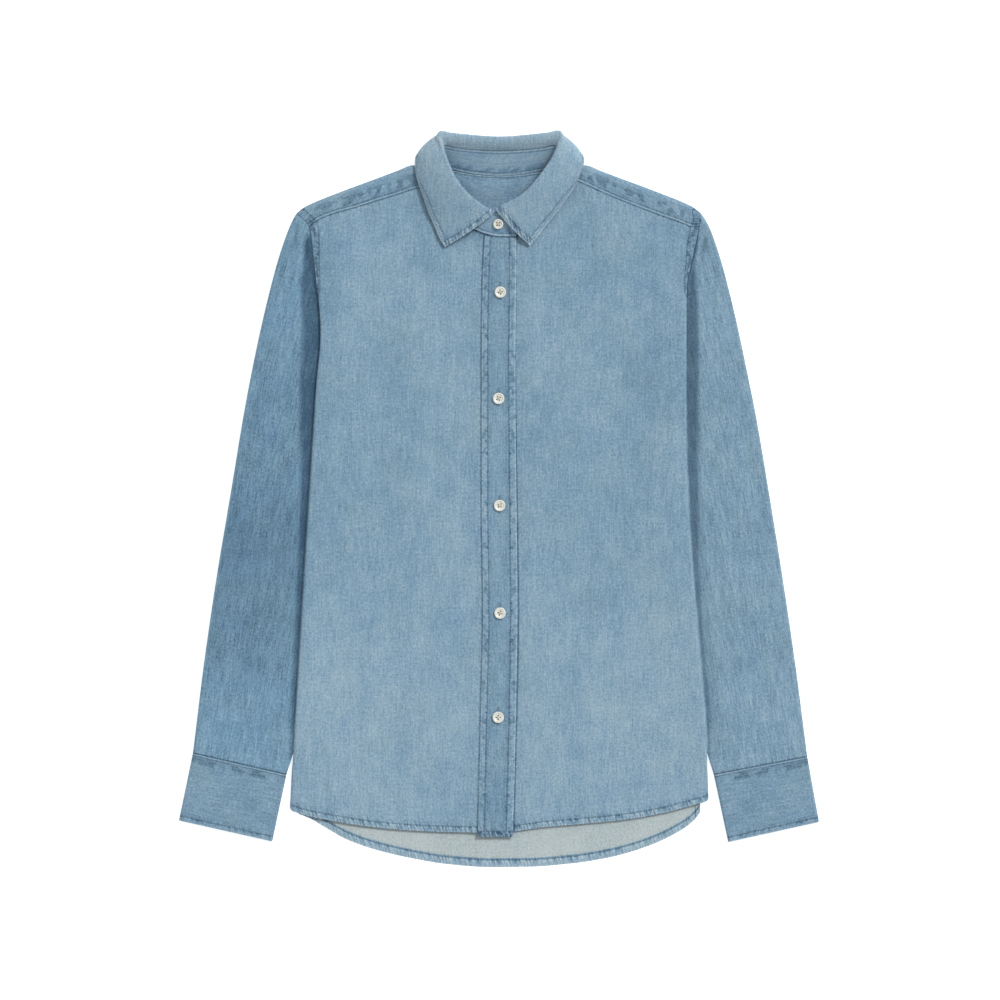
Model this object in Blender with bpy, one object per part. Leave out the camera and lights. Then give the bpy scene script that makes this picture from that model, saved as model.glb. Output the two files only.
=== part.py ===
"""A woman's denim shirt, buttoned up and laid flat on its back, its sleeves down beside the body.

+X is to the wearer's left, +Y is towards the collar and +Z is up. The origin is on the surface
that the shirt lies on, under the middle of its outline. Each piece that a maker would cut is one
wall of cloth: a grid of points on its outer face, the same points moved in by the cloth's
thickness, and the rims between them. Sizes and tables are in millimetres, and MM turns them
into Blender's metres.
"""
import math
from collections import namedtuple

import bmesh
import bpy
import numpy as np
from mathutils import Matrix, Vector

MM = 0.001
WEARERS_RIGHT = -1
WEARERS_LEFT = 1

# Cloth.
CLOTH = 1.1            # single cloth
DOUBLED = 2.0          # two plies with interlining: placket, collar and stand
CUFF_WALL = 1.8
HEM_WALL = 1.9
SEAM_GAP = 0.36
HEM_WIDTH = 6.8

# Heights of the layers above the surface.
MIDDLE_TOP = 4.2       # the fronts over the middle of the body
SHOULDER_TOP = 5.4     # the fold over the shoulder
UNDER_COLLAR_LIFT = 2.8
SLEEVE_FOLD_TOP = 4.9  # the outer fold of a sleeve
SLEEVE_RIDGE_TOP = 6.1
TUCKED_TOP = 2.6       # both layers of a sleeve where the body lies on them
SIDE_FOLD_UNDER = 2.95
UNDERLAP_TOP = 3.3     # the wearer's left front under the placket
PLACKET_TOP = 5.6

# Where the body's side begins to roll over, and the ends of that roll.
ROLL_START_Y = 213.0
ROLL_FULL_Y = 190.0
TURNED_UNDER = 5.5
UNDERARM_Y = 68.0
SLEEVE_CLEAR_Y = -248.0
BACK_YOKE_Y = 223.0
PLACKET_HEAD_Y = 258.2

# The body's outline: the armhole seam down to 213, and from there the fold at its side.
BodyEdge = namedtuple("BodyEdge", "y right left")
BODY_EDGES = (
    BodyEdge(281, -198.2, 197.6), BodyEdge(274, -191.0, 198.0), BodyEdge(267, -185.4, 196.0),
    BodyEdge(255, -183.4, 193.6), BodyEdge(233, -181.0, 188.9), BodyEdge(212, -178.8, 184.4),
    BodyEdge(190, -176.4, 183.9), BodyEdge(165, -175.0, 183.8), BodyEdge(149, -175.6, 183.8),
    BodyEdge(118, -178.7, 183.8), BodyEdge(55, -182.8, 184.0), BodyEdge(-23, -187.7, 186.8),
    BodyEdge(-101, -192.6, 192.6), BodyEdge(-164, -196.5, 198.0), BodyEdge(-211, -199.4, 202.2),
    BodyEdge(-248, -201.5, 203.8), BodyEdge(-274, -203.6, 204.8), BodyEdge(-310, -205.2, 206.0),
)

# The height of the body's side, and of the cloth that it turns under.
SideHeight = namedtuple("SideHeight", "y top under")
SIDE_HEIGHTS = (
    SideHeight(281, 5.4, 2.95), SideHeight(240, 6.0, 2.95), SideHeight(213, 6.6, 2.95),
    SideHeight(190, 7.2, 2.95), SideHeight(150, 7.5, 2.95), SideHeight(90, 7.7, 2.95),
    SideHeight(40, 8.3, 2.95), SideHeight(-160, 8.1, 2.95), SideHeight(-236, 7.2, 2.95),
    SideHeight(-250, 6.6, 2.95), SideHeight(-262, 5.9, 2.0), SideHeight(-274, 5.4, 0.7),
    SideHeight(-286, 5.1, 0.0), SideHeight(-312, 5.0, 0.0),
)

# The shoulder fold and the front yoke seam, from the neck (0) to the armhole (1).
ShoulderFold = namedtuple("ShoulderFold", "along y")
SHOULDER_FOLD = (
    ShoulderFold(0.00, 326.6), ShoulderFold(0.12, 327.6), ShoulderFold(0.24, 322.3),
    ShoulderFold(0.37, 316.0), ShoulderFold(0.65, 302.6), ShoulderFold(0.865, 291.6),
    ShoulderFold(0.95, 286.2), ShoulderFold(1.00, 281.0),
)
YokeSeam = namedtuple("YokeSeam", "along right left")
YOKE_SEAM = (
    YokeSeam(0.00, 308.5, 317.0), YokeSeam(0.12, 306.2, 311.6), YokeSeam(0.33, 298.4, 299.2),
    YokeSeam(0.60, 288.0, 284.7), YokeSeam(0.895, 276.9, 270.3), YokeSeam(1.00, 268.6, 264.0),
)
NECK_POINT_X = 69.0
YOKE_SEAM_NECK_X = 63.0
BACK_NECK_Y = 317.5
BACK_NECK_RISE = 5.8       # at 49 from the middle
BACK_NECK_RISE_AT = 49.0

# The front neckline, from the placket to the yoke seam.
Neckline = namedtuple("Neckline", "along x right left")
NECKLINE = (
    Neckline(0.00, 14.0, 260.2, 258.4), Neckline(0.16, 22.0, 263.6, 260.4),
    Neckline(0.33, 33.0, 268.8, 266.4), Neckline(0.56, 47.0, 279.5, 277.5),
    Neckline(0.78, 57.5, 294.0, 296.0), Neckline(1.00, 63.0, 308.5, 317.0),
)
# Places that a front and the yoke share along their seam, from the neck to the side strip.
NECK_PLACES = (0.0, 0.2, 0.4, 0.6, 0.8)
YOKE_SEAM_PLACES = (0.0, 0.14, 0.3, 0.46, 0.62, 0.78, 0.9, 1.0)
# Heights down the armhole that the yoke, the front, the back and the sleeve share.
ARMHOLE_YS = (274, 268.3, 257, 245, 233, 223, 213, 207, 201, 195, 189, 178, 160, 130, 100, 84, 68)

# The lower edge of each front, from the placket (0) to the side (1).
FrontHem = namedtuple("FrontHem", "along right left")
FRONT_HEM = (
    FrontHem(0.00, -326.4, -325.6), FrontHem(0.14, -326.0, -321.6), FrontHem(0.37, -324.2, -317.8),
    FrontHem(0.60, -320.4, -313.4), FrontHem(0.80, -314.6, -306.6), FrontHem(0.92, -310.4, -300.6),
    FrontHem(1.00, -306.0, -296.6),
)
BackHem = namedtuple("BackHem", "x y")
BACK_HEM = (
    BackHem(-199, -307.5), BackHem(-186, -312.5), BackHem(-171.5, -321.0), BackHem(-148.5, -333.8),
    BackHem(-119.8, -343.8), BackHem(-85.3, -351.9), BackHem(-50.8, -357.6), BackHem(-8, -360.6),
    BackHem(29.7, -360.2), BackHem(72.8, -356.8), BackHem(110.3, -350.6), BackHem(144.7, -340.5),
    BackHem(173.5, -327.4), BackHem(190, -316.0), BackHem(199, -305.0),
)

# The placket's two edges.
PlacketEdge = namedtuple("PlacketEdge", "y right left")
PLACKET_EDGES = (
    PlacketEdge(263, -13.4, 17.0), PlacketEdge(245, -14.8, 17.0), PlacketEdge(200, -16.4, 16.8),
    PlacketEdge(140, -17.0, 16.2), PlacketEdge(-6, -17.0, 17.3), PlacketEdge(-105, -15.8, 18.2),
    PlacketEdge(-210, -17.9, 16.7), PlacketEdge(-332, -20.8, 13.7),
)
PLACKET_FOOT_Y = -330.6
UNDERLAP_EDGE_X = -11.0

# The outer fold of each sleeve.
SleeveEdge = namedtuple("SleeveEdge", "y right left")
SLEEVE_EDGES = (
    SleeveEdge(281, -198.2, 197.6), SleeveEdge(276, -201.2, 201.4), SleeveEdge(268, -205.0, 205.9),
    SleeveEdge(244.5, -213.6, 214.6), SleeveEdge(221, -220.5, 221.5), SleeveEdge(174, -232.1, 233.0),
    SleeveEdge(127, -242.1, 243.0), SleeveEdge(80, -250.9, 252.4), SleeveEdge(9, -262.6, 264.4),
    SleeveEdge(-73, -276.4, 277.6), SleeveEdge(-167, -290.1, 291.4), SleeveEdge(-252, -300.3, 302.3),
)

# How far a sleeve's inner fold lies in from the body's edge, under the body.
InnerFold = namedtuple("InnerFold", "y tucked_in")
INNER_FOLD = (
    InnerFold(68, 8.0), InnerFold(58, 12.0), InnerFold(46, 19.0), InnerFold(30, 27.0),
    InnerFold(10, 33.5), InnerFold(-15, 36.5), InnerFold(-45, 36.0), InnerFold(-90, 32.0),
    InnerFold(-140, 24.0), InnerFold(-190, 14.0), InnerFold(-225, 6.0), InnerFold(-248, 0.0),
    InnerFold(-271, -5.6),
)

# Rows across a sleeve, from its outer fold to the armhole seam, and below that to its inner fold.
SleeveRow = namedtuple("SleeveRow", "outer_y inner_y")
SLEEVE_ROWS = (
    SleeveRow(281, 274), SleeveRow(275.5, 268.3), SleeveRow(267, 257), SleeveRow(256, 245),
    SleeveRow(244, 233), SleeveRow(233, 223), SleeveRow(224, 213), SleeveRow(218, 207),
    SleeveRow(212, 201), SleeveRow(206, 195), SleeveRow(200, 189), SleeveRow(189, 178),
    SleeveRow(171, 160), SleeveRow(142, 130), SleeveRow(113, 100), SleeveRow(97, 84),
    SleeveRow(81, 68), SleeveRow(73, 59), SleeveRow(60, 46), SleeveRow(43, 28), SleeveRow(18, 3),
    SleeveRow(-16, -31), SleeveRow(-60, -76), SleeveRow(-106, -123), SleeveRow(-150, -168),
    SleeveRow(-192, -210), SleeveRow(-226, -245), SleeveRow(-248.7, -269.6),
)
UPPER_OUTER_SHARES = (0.0, 0.12, 0.3, 0.52, 0.76, 1.0)
BESIDE_BODY = (15.0, 9.0, 4.5, 1.5)
LOWER_SHARES = (1.0, 0.8, 0.55, 0.3, 0.1, 0.0)
FOLD_STEPS = 3

# Cuffs: corners at the join and at the lower edge, from the outer to the inner fold.
CuffLine = namedtuple("CuffLine", "outer_x outer_y inner_x inner_y")
CUFF_JOIN = {
    WEARERS_RIGHT: CuffLine(-300.2, -249.0, -208.4, -270.0),
    WEARERS_LEFT: CuffLine(302.4, -252.4, 210.7, -270.0),
}
CUFF_FOOT = {
    WEARERS_RIGHT: CuffLine(-313.8, -314.6, -222.2, -335.2),
    WEARERS_LEFT: CuffLine(313.9, -316.0, 224.7, -335.7),
}
CUFF_TOP = 4.7

BUTTON_THICKNESS = 2.4
BUTTON_DIAMETER = 11.4
COLLAR_BUTTON_DIAMETER = 10.2
BUTTON_RIM = 1.3
BUTTON_HOLE_DIAMETER = 1.5
BUTTON_HOLE_SPACING = 2.6
ButtonPlace = namedtuple("ButtonPlace", "name x y")
FRONT_BUTTONS = (
    ButtonPlace("button_1", 1.3, 203.1), ButtonPlace("button_2", -0.4, 98.9),
    ButtonPlace("button_3", 0.6, -5.9), ButtonPlace("button_4", 1.0, -111.3),
    ButtonPlace("button_5", -0.8, -213.4),
)
COLLAR_BUTTON = ButtonPlace("button_collar", -0.8, 270.3)

DENIM = (0.235, 0.352, 0.462, 1.0)
PEARL = (0.84, 0.83, 0.76, 1.0)


# ---- Curves read from the tables ----

def ease(step):
    """0 to 1 with level ends."""
    step = np.clip(step, 0.0, 1.0)
    return step * step * (3.0 - 2.0 * step)


def follow(table, key, column, at):
    """One column of a table at values of another, on a smooth curve that never overshoots."""
    rows = sorted(table, key=lambda row: getattr(row, key))
    keys = np.array([getattr(row, key) for row in rows], float)
    values = np.array([getattr(row, column) for row in rows], float)
    width = np.diff(keys)
    rise = np.diff(values) / width
    slope = np.zeros(len(values))
    slope[0], slope[-1] = rise[0], rise[-1]
    before, after = rise[:-1], rise[1:]
    same = before * after > 0
    slope[1:-1][same] = 2.0 * before[same] * after[same] / (before[same] + after[same])
    at = np.asarray(at, float)
    cell = np.clip(np.searchsorted(keys, at) - 1, 0, len(width) - 1)
    t = np.clip((at - keys[cell]) / width[cell], 0.0, 1.0)
    start = values[cell] + slope[cell] * width[cell] * t
    bend = values[cell + 1] - values[cell] - slope[cell] * width[cell]
    end_bend = width[cell] * (slope[cell + 1] - slope[cell])
    return start + (3.0 * bend - end_bend) * t ** 2 + (end_bend - 2.0 * bend) * t ** 3


def side_column(side):
    return "left" if side == WEARERS_LEFT else "right"


def body_edge_x(side, y):
    return follow(BODY_EDGES, "y", side_column(side), y)


def sleeve_edge_x(side, y):
    return follow(SLEEVE_EDGES, "y", side_column(side), y)


def inner_fold_x(side, y):
    return body_edge_x(side, y) - side * follow(INNER_FOLD, "y", "tucked_in", y)


def side_roll(side, y):
    """The roll of the body's side: its radius, how far it has turned, and the length after it."""
    top = follow(SIDE_HEIGHTS, "y", "top", y)
    under = follow(SIDE_HEIGHTS, "y", "under", y)
    turn = math.pi * ease((ROLL_START_Y - y) / (ROLL_START_Y - ROLL_FULL_Y))
    tail = TURNED_UNDER * ease((ROLL_FULL_Y + 10.0 - y) / 20.0)
    lead = 9.0 - 7.0 * turn / math.pi
    return top, (top - under) / 2.0, turn, tail, lead


def side_strip(side, y, share):
    """A point of the strip at the body's side, from where it is still level (0) to its end (1)."""
    top, radius, turn, tail, lead = side_roll(side, y)
    length = share * (lead + radius * turn + tail)
    roll_x = body_edge_x(side, y) - side * radius * np.sin(np.minimum(turn, math.pi / 2.0))
    angle = np.clip((length - lead) / radius, 0.0, turn)
    after = np.maximum(length - lead - radius * turn, 0.0)
    level = np.minimum(length - lead, 0.0)
    out = level + radius * np.sin(angle) + after * np.cos(turn)
    z = top - radius * (1.0 - np.cos(angle)) - after * np.sin(turn)
    return roll_x + side * out, z


def strip_start_x(side, y):
    return side_strip(side, y, 0.0)[0]


def seam_x(side, y):
    """The armhole seam, and below the underarm the side seam under the body."""
    return side_strip(side, y, 1.0)[0]


def shoulder_fold_y(x):
    """The fold over the shoulder, or a line across the neck."""
    side_edge = np.where(x > 0, body_edge_x(WEARERS_LEFT, 281.0), -body_edge_x(WEARERS_RIGHT, 281.0))
    along = (np.abs(x) - NECK_POINT_X) / (side_edge - NECK_POINT_X)
    return follow(SHOULDER_FOLD, "along", "y", np.clip(along, 0.0, 1.0))


def under_collar(x, y):
    """1 where the hidden half of the collar lies under the shirt, 0 well away from it."""
    return ease((y - 294.0) / 13.0) * ease((100.0 - np.abs(x)) / 15.0)


def back_under(x, y):
    """The underside of the back and of the back of the yoke."""
    lift = UNDER_COLLAR_LIFT * under_collar(x, y)
    for side in (WEARERS_RIGHT, WEARERS_LEFT):
        over_sleeve = ease((15.0 - side * (inner_fold_x(side, y) - x)) / 11.0)
        below_underarm = ease((UNDERARM_Y + 16.0 - y) / 10.0) * ease((y - SLEEVE_CLEAR_Y + 14.0) / 10.0)
        under = follow(SIDE_HEIGHTS, "y", "under", y) * ease((UNDERARM_Y + 16.0 - y) / 10.0)
        at_seam = ease((16.0 - side * (seam_x(side, y) - x)) / 12.0)
        lift = np.maximum(lift, SIDE_FOLD_UNDER * over_sleeve * below_underarm)
        lift = np.maximum(lift, under * at_seam)
    return lift


def body_top(x, y):
    """The outer face of the fronts and of the front of the yoke."""
    side_x = np.where(x > 0, strip_start_x(WEARERS_LEFT, y), -strip_start_x(WEARERS_RIGHT, y))
    near_side = ease(1.0 - (side_x - np.abs(x)) / 62.0)
    near_shoulder = ease(1.0 - (shoulder_fold_y(x) - y) / 48.0)
    shoulder_top = SHOULDER_TOP + UNDER_COLLAR_LIFT * ease((106.0 - np.abs(x)) / 24.0)
    side_top = follow(SIDE_HEIGHTS, "y", "top", y)
    top = MIDDLE_TOP + (side_top - MIDDLE_TOP) * near_side
    return top + (shoulder_top - MIDDLE_TOP) * near_shoulder * (1.0 - near_side)


def sleeve_top(side, x, y):
    """The outer face of a sleeve's upper layer."""
    from_fold = side * (sleeve_edge_x(side, y) - x)
    fold_top = sleeve_fold_top(y)
    ridge = fold_top + (SLEEVE_RIDGE_TOP - SLEEVE_FOLD_TOP) * ease(from_fold / 45.0) * ease((y + 255.0) / 60.0)
    top, radius, turn, _, _ = side_roll(side, y)
    seam_top = top - radius * (1.0 - np.cos(turn))
    seam_top = seam_top - (SIDE_FOLD_UNDER - TUCKED_TOP) * np.sin(np.minimum(turn, math.pi / 2.0))
    from_body = side * (x - body_edge_x(side, y))
    beside_body = (1.0 - ease((from_body - 1.0) / 14.0)) * (1.0 - ease((SLEEVE_CLEAR_Y + 2.0 - y) / 20.0))
    groove_out = 2.0 + 6.5 * ease((y - 205.0) / 45.0)
    groove = 3.2 * ease((267.0 - y) / 34.0) * ease((y - 186.0) / 26.0)
    dip = groove * np.exp(-((from_body - groove_out) / 4.5) ** 2) * ease(from_body / 3.0)
    return np.maximum(ridge + (seam_top - ridge) * beside_body - dip, TUCKED_TOP)


# ---- Walls ----

def grid_normals(grid):
    across = np.gradient(grid, axis=1)
    along = np.gradient(grid, axis=0)
    normal = np.cross(along, across)
    return normal / np.linalg.norm(normal, axis=2, keepdims=True)


def wall_faces(rows, columns, is_ring, span_starts):
    """Faces of a closed wall. Span_starts says from which row on a span between columns exists."""
    sheet = []
    for j in range(columns if is_ring else columns - 1):
        k = (j + 1) % columns
        for i in range(span_starts.get(j, 0), rows - 1):
            sheet.append((i * columns + j, i * columns + k, (i + 1) * columns + k, (i + 1) * columns + j))
    edges = set()
    for face in sheet:
        edges.update(zip(face, face[1:] + face[:1]))
    half = rows * columns
    faces = sheet + [tuple(half + corner for corner in reversed(face)) for face in sheet]
    for a, b in sorted(edges):
        if (b, a) not in edges:
            faces.append((b, a, half + a, half + b))
    return faces


def closed_wall(name, outer, inner, material, is_ring=False, span_starts=None):
    """The solid between two grids that run side by side, each face split on its short diagonal."""
    rows, columns = outer.shape[:2]
    half = rows * columns
    points = np.concatenate([outer.reshape(-1, 3), inner.reshape(-1, 3)]) * MM
    faces = []
    for face in wall_faces(rows, columns, is_ring, span_starts or {}):
        a, b, c, d = (corner % half for corner in face)
        one, other = np.linalg.norm(points[a] - points[c]), np.linalg.norm(points[b] - points[d])
        on_rim = min(face) < half <= max(face)
        if on_rim or one <= other:
            faces += [face[:3], (face[0], face[2], face[3])]
        else:
            faces += [face[1:], (face[1], face[3], face[0])]
    used = sorted({corner for face in faces for corner in face})
    place = {corner: i for i, corner in enumerate(used)}
    mesh = bpy.data.meshes.new(name)
    mesh.from_pydata([tuple(points[corner]) for corner in used], [],
                     [tuple(place[corner] for corner in face) for face in faces])
    return finished(name, mesh, material)


def cloth_wall(name, grid, thickness, outward, material, moved_out=0.0):
    """A wall inside a grid of points. Outward is 1 or -1, the side of the grid that shows."""
    normal = grid_normals(grid) * outward
    outer = grid + normal * moved_out
    inner = outer - normal * np.asarray(thickness)[..., None]
    return closed_wall(name, outer, inner, material)


def finished(name, mesh, material):
    """Turn a closed mesh's faces outwards, and put it in the scene."""
    work = bmesh.new()
    work.from_mesh(mesh)
    bmesh.ops.recalc_face_normals(work, faces=work.faces)
    if work.calc_volume(signed=True) < 0.0:
        bmesh.ops.reverse_faces(work, faces=work.faces)
    work.to_mesh(mesh)
    work.free()
    mesh.shade_smooth()
    mesh.set_sharp_from_angle(angle=math.radians(40.0))
    mesh.materials.append(material)
    thing = bpy.data.objects.new(name, mesh)
    bpy.context.scene.collection.objects.link(thing)
    return thing


def surface(x, y, z):
    x, y, z = np.broadcast_arrays(x, y, z)
    return np.stack([x, y, z], axis=-1).astype(float)


def between(start, end, share):
    return start + (end - start) * share


def patch(top, bottom, first, last, across, along):
    """A sheet between four edges, each a plan line: two run across and two run along it."""
    s = across[None, :, None]
    t = along[:, None, None]
    ruled = between(top[None], bottom[None], t) + between(first[:, None], last[:, None], s)
    corners = between(between(top[0], top[-1], s), between(bottom[0], bottom[-1], s), t)
    return ruled - corners


# ---- Fronts and placket ----

FRONT_SIDE_YS = ARMHOLE_YS[1:] + (40, 0, -55, -115, -175, -220, -244, -256, -267, -280)
STRIP_SHARES = (0.25, 0.45, 0.6, 0.75, 0.88, 1.0)


def placket_edge_x(side, y):
    return follow(PLACKET_EDGES, "y", side_column(side), y)


def yoke_seam_point(side, place):
    """A plan point of the front yoke seam, from the neck (0) to the side strip (1)."""
    side_y = ARMHOLE_YS[1]
    start_x = abs(strip_start_x(side, side_y))
    reach = abs(body_edge_x(side, side_y))
    x = YOKE_SEAM_NECK_X + place * (start_x - YOKE_SEAM_NECK_X)
    along = (x - YOKE_SEAM_NECK_X) / (reach - YOKE_SEAM_NECK_X)
    return np.stack([side * x, follow(YOKE_SEAM, "along", side_column(side), along)], axis=-1)


def front_top_line(side, first_x):
    """The front neckline and then the yoke seam, from the placket to the side strip."""
    neck = np.array(NECK_PLACES)
    neck_x = side * follow(NECKLINE, "along", "x", neck)
    neck_y = follow(NECKLINE, "along", side_column(side), neck)
    line = np.concatenate([np.stack([neck_x, neck_y], axis=-1),
                           yoke_seam_point(side, np.array(YOKE_SEAM_PLACES))])
    line[:, 1] -= SEAM_GAP / 2.0
    line[0, 0] = first_x(line[0, 1])
    return line


def front_plan(side, first_x):
    """Plan points of a front, without its side strip."""
    top = front_top_line(side, first_x)
    across = np.abs(top[:, 0] - top[0, 0]) / abs(top[-1, 0] - top[0, 0])
    hem_y = follow(FRONT_HEM, "along", side_column(side), across)
    side_ys = np.array(FRONT_SIDE_YS + (hem_y[-1] + HEM_WIDTH + 1.0, hem_y[-1] + HEM_WIDTH, hem_y[-1]), float)
    side_ys[0] -= SEAM_GAP / 2.0
    last = np.stack([strip_start_x(side, side_ys), side_ys], axis=-1)
    last[0] = top[-1]
    along = (last[0, 1] - last[:, 1]) / (last[0, 1] - last[-1, 1])
    first_ys = between(top[0, 1], hem_y[0], along)
    first_ys[-3:] = hem_y[0] + HEM_WIDTH + 1.0, hem_y[0] + HEM_WIDTH, hem_y[0]
    first = np.stack([first_x(first_ys), first_ys], axis=-1)
    hem_x = between(first[-1, 0], last[-1, 0], across)
    bottom = np.stack([hem_x, hem_y], axis=-1)
    return patch(top, bottom, first, last, across, along), side_ys


def front_grid(side, plan, side_ys, height):
    """Add the heights, and the strip that rolls over at the side."""
    x, y = plan[..., 0], plan[..., 1]
    middle = surface(x, y, height(x, y))
    shares = np.array(STRIP_SHARES)[None, :]
    rows = side_ys[:, None]
    strip_x, strip_z = side_strip(side, rows, shares)
    turn = side_roll(side, rows)[2]
    strip_x = strip_x - side * SEAM_GAP / 2.0 * np.cos(turn) * shares
    strip = surface(strip_x, rows, strip_z)
    strip[0, :, 1] = between(plan[0, -1, 1], side_ys[0], shares[0])
    return np.concatenate([middle, strip], axis=1)


def hem_thickness(shape, plain, hemmed):
    thickness = np.full(shape, plain)
    thickness[-2:] = hemmed
    return thickness


def make_front_right(denim):
    def height(x, y):
        beside_placket = ease(1.0 - (placket_edge_x(WEARERS_RIGHT, y) - x) / 12.0)
        return body_top(x, y) + (PLACKET_TOP - 0.4 - MIDDLE_TOP) * beside_placket

    def first_x(y):
        return placket_edge_x(WEARERS_RIGHT, y) - SEAM_GAP

    plan, side_ys = front_plan(WEARERS_RIGHT, first_x)
    grid = front_grid(WEARERS_RIGHT, plan, side_ys, height)
    thickness = hem_thickness(grid.shape[:2], CLOTH, HEM_WALL)
    cloth_wall("front_right", grid, thickness, WEARERS_RIGHT, denim)


def make_front_left(denim):
    def height(x, y):
        under_placket = ease(1.0 - (x - placket_edge_x(WEARERS_LEFT, y) - 1.0) / 12.0)
        return body_top(x, y) + (UNDERLAP_TOP - MIDDLE_TOP) * under_placket

    def first_x(y):
        return placket_edge_x(WEARERS_LEFT, y) + 0.5

    plan, side_ys = front_plan(WEARERS_LEFT, first_x)
    ys = plan[:, 0, 1]
    underlap = np.stack([np.stack([np.full_like(ys, UNDERLAP_EDGE_X), ys], axis=-1),
                         np.stack([np.full_like(ys, UNDERLAP_EDGE_X / 2.0 + 8.0), ys], axis=-1)], axis=1)
    plan = np.concatenate([underlap, plan], axis=1)
    grid = front_grid(WEARERS_LEFT, plan, side_ys, height)
    thickness = hem_thickness(grid.shape[:2], CLOTH, HEM_WALL)
    thickness[:, :3] = CLOTH
    cloth_wall("front_left", grid, thickness, WEARERS_LEFT, denim)


def make_placket(denim):
    ys = np.linspace(PLACKET_HEAD_Y - 0.6, PLACKET_FOOT_Y, 20)[:, None]
    share = np.array([0.0, 0.2, 0.5, 0.8, 1.0])[None, :]
    x = between(placket_edge_x(WEARERS_RIGHT, ys), placket_edge_x(WEARERS_LEFT, ys), share)
    ys = np.broadcast_to(ys, x.shape).copy()
    ys[0] += np.array([2.0, 1.0, 0.3, 0.0, 0.0])
    grid = surface(x, ys, PLACKET_TOP)
    cloth_wall("placket", grid, np.full(grid.shape[:2], DOUBLED), 1, denim)


# ---- Back and yoke ----

BACK_ACROSS = (0.0, 0.02, 0.043, 0.07, 0.1, 0.135, 0.18, 0.3)
BACK_YS = ARMHOLE_YS[5:] + (57, 45, 30, 8, -30, -75, -120, -165, -205, -236, -256, -276, -290)


def make_back(denim):
    half = np.array(BACK_ACROSS)
    across = np.concatenate([half, [0.5], 1.0 - half[::-1]])[None, :]
    ys = np.array(BACK_YS, float)
    right_x = seam_x(WEARERS_RIGHT, ys) + SEAM_GAP / 2.0
    left_x = seam_x(WEARERS_LEFT, ys) - SEAM_GAP / 2.0
    x = between(right_x[:, None], left_x[:, None], across)
    y = np.broadcast_to(ys[:, None], x.shape).copy()
    y[0] -= SEAM_GAP / 2.0
    hem = follow(BACK_HEM, "x", "y", x[-1])
    to_hem = ease((-120.0 - ys) / 170.0)[:, None]
    y = between(y, y + hem + HEM_WIDTH + 8.0 - ys[-1], to_hem)
    for above_hem in (HEM_WIDTH + 1.0, HEM_WIDTH, 0.0):
        x = np.concatenate([x, x[-1:]])
        y = np.concatenate([y, hem[None] + above_hem])
    grid = surface(x, y, back_under(x, y))
    thickness = hem_thickness(grid.shape[:2], CLOTH, HEM_WALL)
    cloth_wall("back", grid, thickness, -1, denim)


ARMHOLE_BULGE = np.array([0.72, 0.70])
SHOULDER_BULGE = np.array([0.34, 0.94])


def fold_path(fold, bulge, turns):
    """Points round the shoulder fold, turned from lying on the back (0) to the front (pi)."""
    top = body_top(fold[0], fold[1] - 3.0)
    under = back_under(fold[0], fold[1] - 3.0)
    radius = (top - under) / 2.0
    centre = fold - bulge * radius
    turns = np.asarray(turns, float)
    out = radius * np.sin(turns)
    return surface(centre[0] + bulge[0] * out, centre[1] + bulge[1] * out,
                   under + radius * (1.0 - np.cos(turns)))


def back_of_yoke(start, end):
    """Five points up the back of the yoke, before the fold or the neck."""
    plan = between(np.array(start, float), np.array(end, float), np.array([0.0, 0.25, 0.5, 0.75, 0.9])[:, None])
    return surface(plan[:, 0], plan[:, 1], back_under(plan[:, 0], plan[:, 1]))


def shoulder_column(side, place):
    """One line of the yoke over the shoulder, at a shared place of the front seam."""
    end = yoke_seam_point(side, place) + np.array([0.0, SEAM_GAP / 2.0])
    side_y = ARMHOLE_YS[1]
    to_side = (abs(strip_start_x(side, side_y)) - YOKE_SEAM_NECK_X) * place
    share = to_side / (abs(body_edge_x(side, side_y)) - YOKE_SEAM_NECK_X)
    fold_x = side * between(NECK_POINT_X, abs(body_edge_x(side, 281.0)), share)
    fold = np.array([fold_x, follow(SHOULDER_FOLD, "along", "y", share)])
    weight = ease((share - 0.8) / 0.2)
    bulge = between(SHOULDER_BULGE, ARMHOLE_BULGE, weight) * np.array([side, 1.0])
    arc = fold_path(fold, bulge / np.linalg.norm(bulge), np.linspace(0.0, math.pi, 5))
    start_x = side * between(56.0, abs(seam_x(side, BACK_YOKE_Y)) - SEAM_GAP / 2.0, share)
    back = back_of_yoke((start_x, BACK_YOKE_Y + SEAM_GAP / 2.0), arc[0, :2])
    plan = between(arc[-1, :2], end, np.array([0.5, 1.0])[:, None])
    front = surface(plan[:, 0], plan[:, 1], body_top(plan[:, 0], plan[:, 1]))
    return np.concatenate([back, arc, front])


def armhole_column(side):
    """The yoke's edge along the armhole seam, at the heights that the sleeve shares."""
    ys = np.array((ARMHOLE_YS[5] + SEAM_GAP / 2.0,) + ARMHOLE_YS[4:0:-1])
    back = surface(seam_x(side, ys) - side * SEAM_GAP / 2.0, ys, back_under(seam_x(side, ys), ys))
    shift = np.array([-side, 1.0]) * SEAM_GAP / 2.0 * 0.71
    tip = np.array([float(body_edge_x(side, 281.0)), 281.0]) + shift
    bulge = ARMHOLE_BULGE * np.array([side, 1.0])
    arc = fold_path(tip, bulge, np.linspace(0.0, math.pi, 5))
    corner = np.array([float(seam_x(side, ARMHOLE_YS[0])), ARMHOLE_YS[0]]) + shift
    end_y = ARMHOLE_YS[1] + SEAM_GAP / 2.0
    end = np.array([float(seam_x(side, ARMHOLE_YS[1])) - side * SEAM_GAP / 2.0, end_y])
    plan = np.array([corner, end])
    front = surface(plan[:, 0], plan[:, 1], follow(SIDE_HEIGHTS, "y", "top", plan[:, 1]))
    return np.concatenate([back, arc, front])


def back_neck_y(x):
    return BACK_NECK_Y + BACK_NECK_RISE * (x / BACK_NECK_RISE_AT) ** 2


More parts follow.
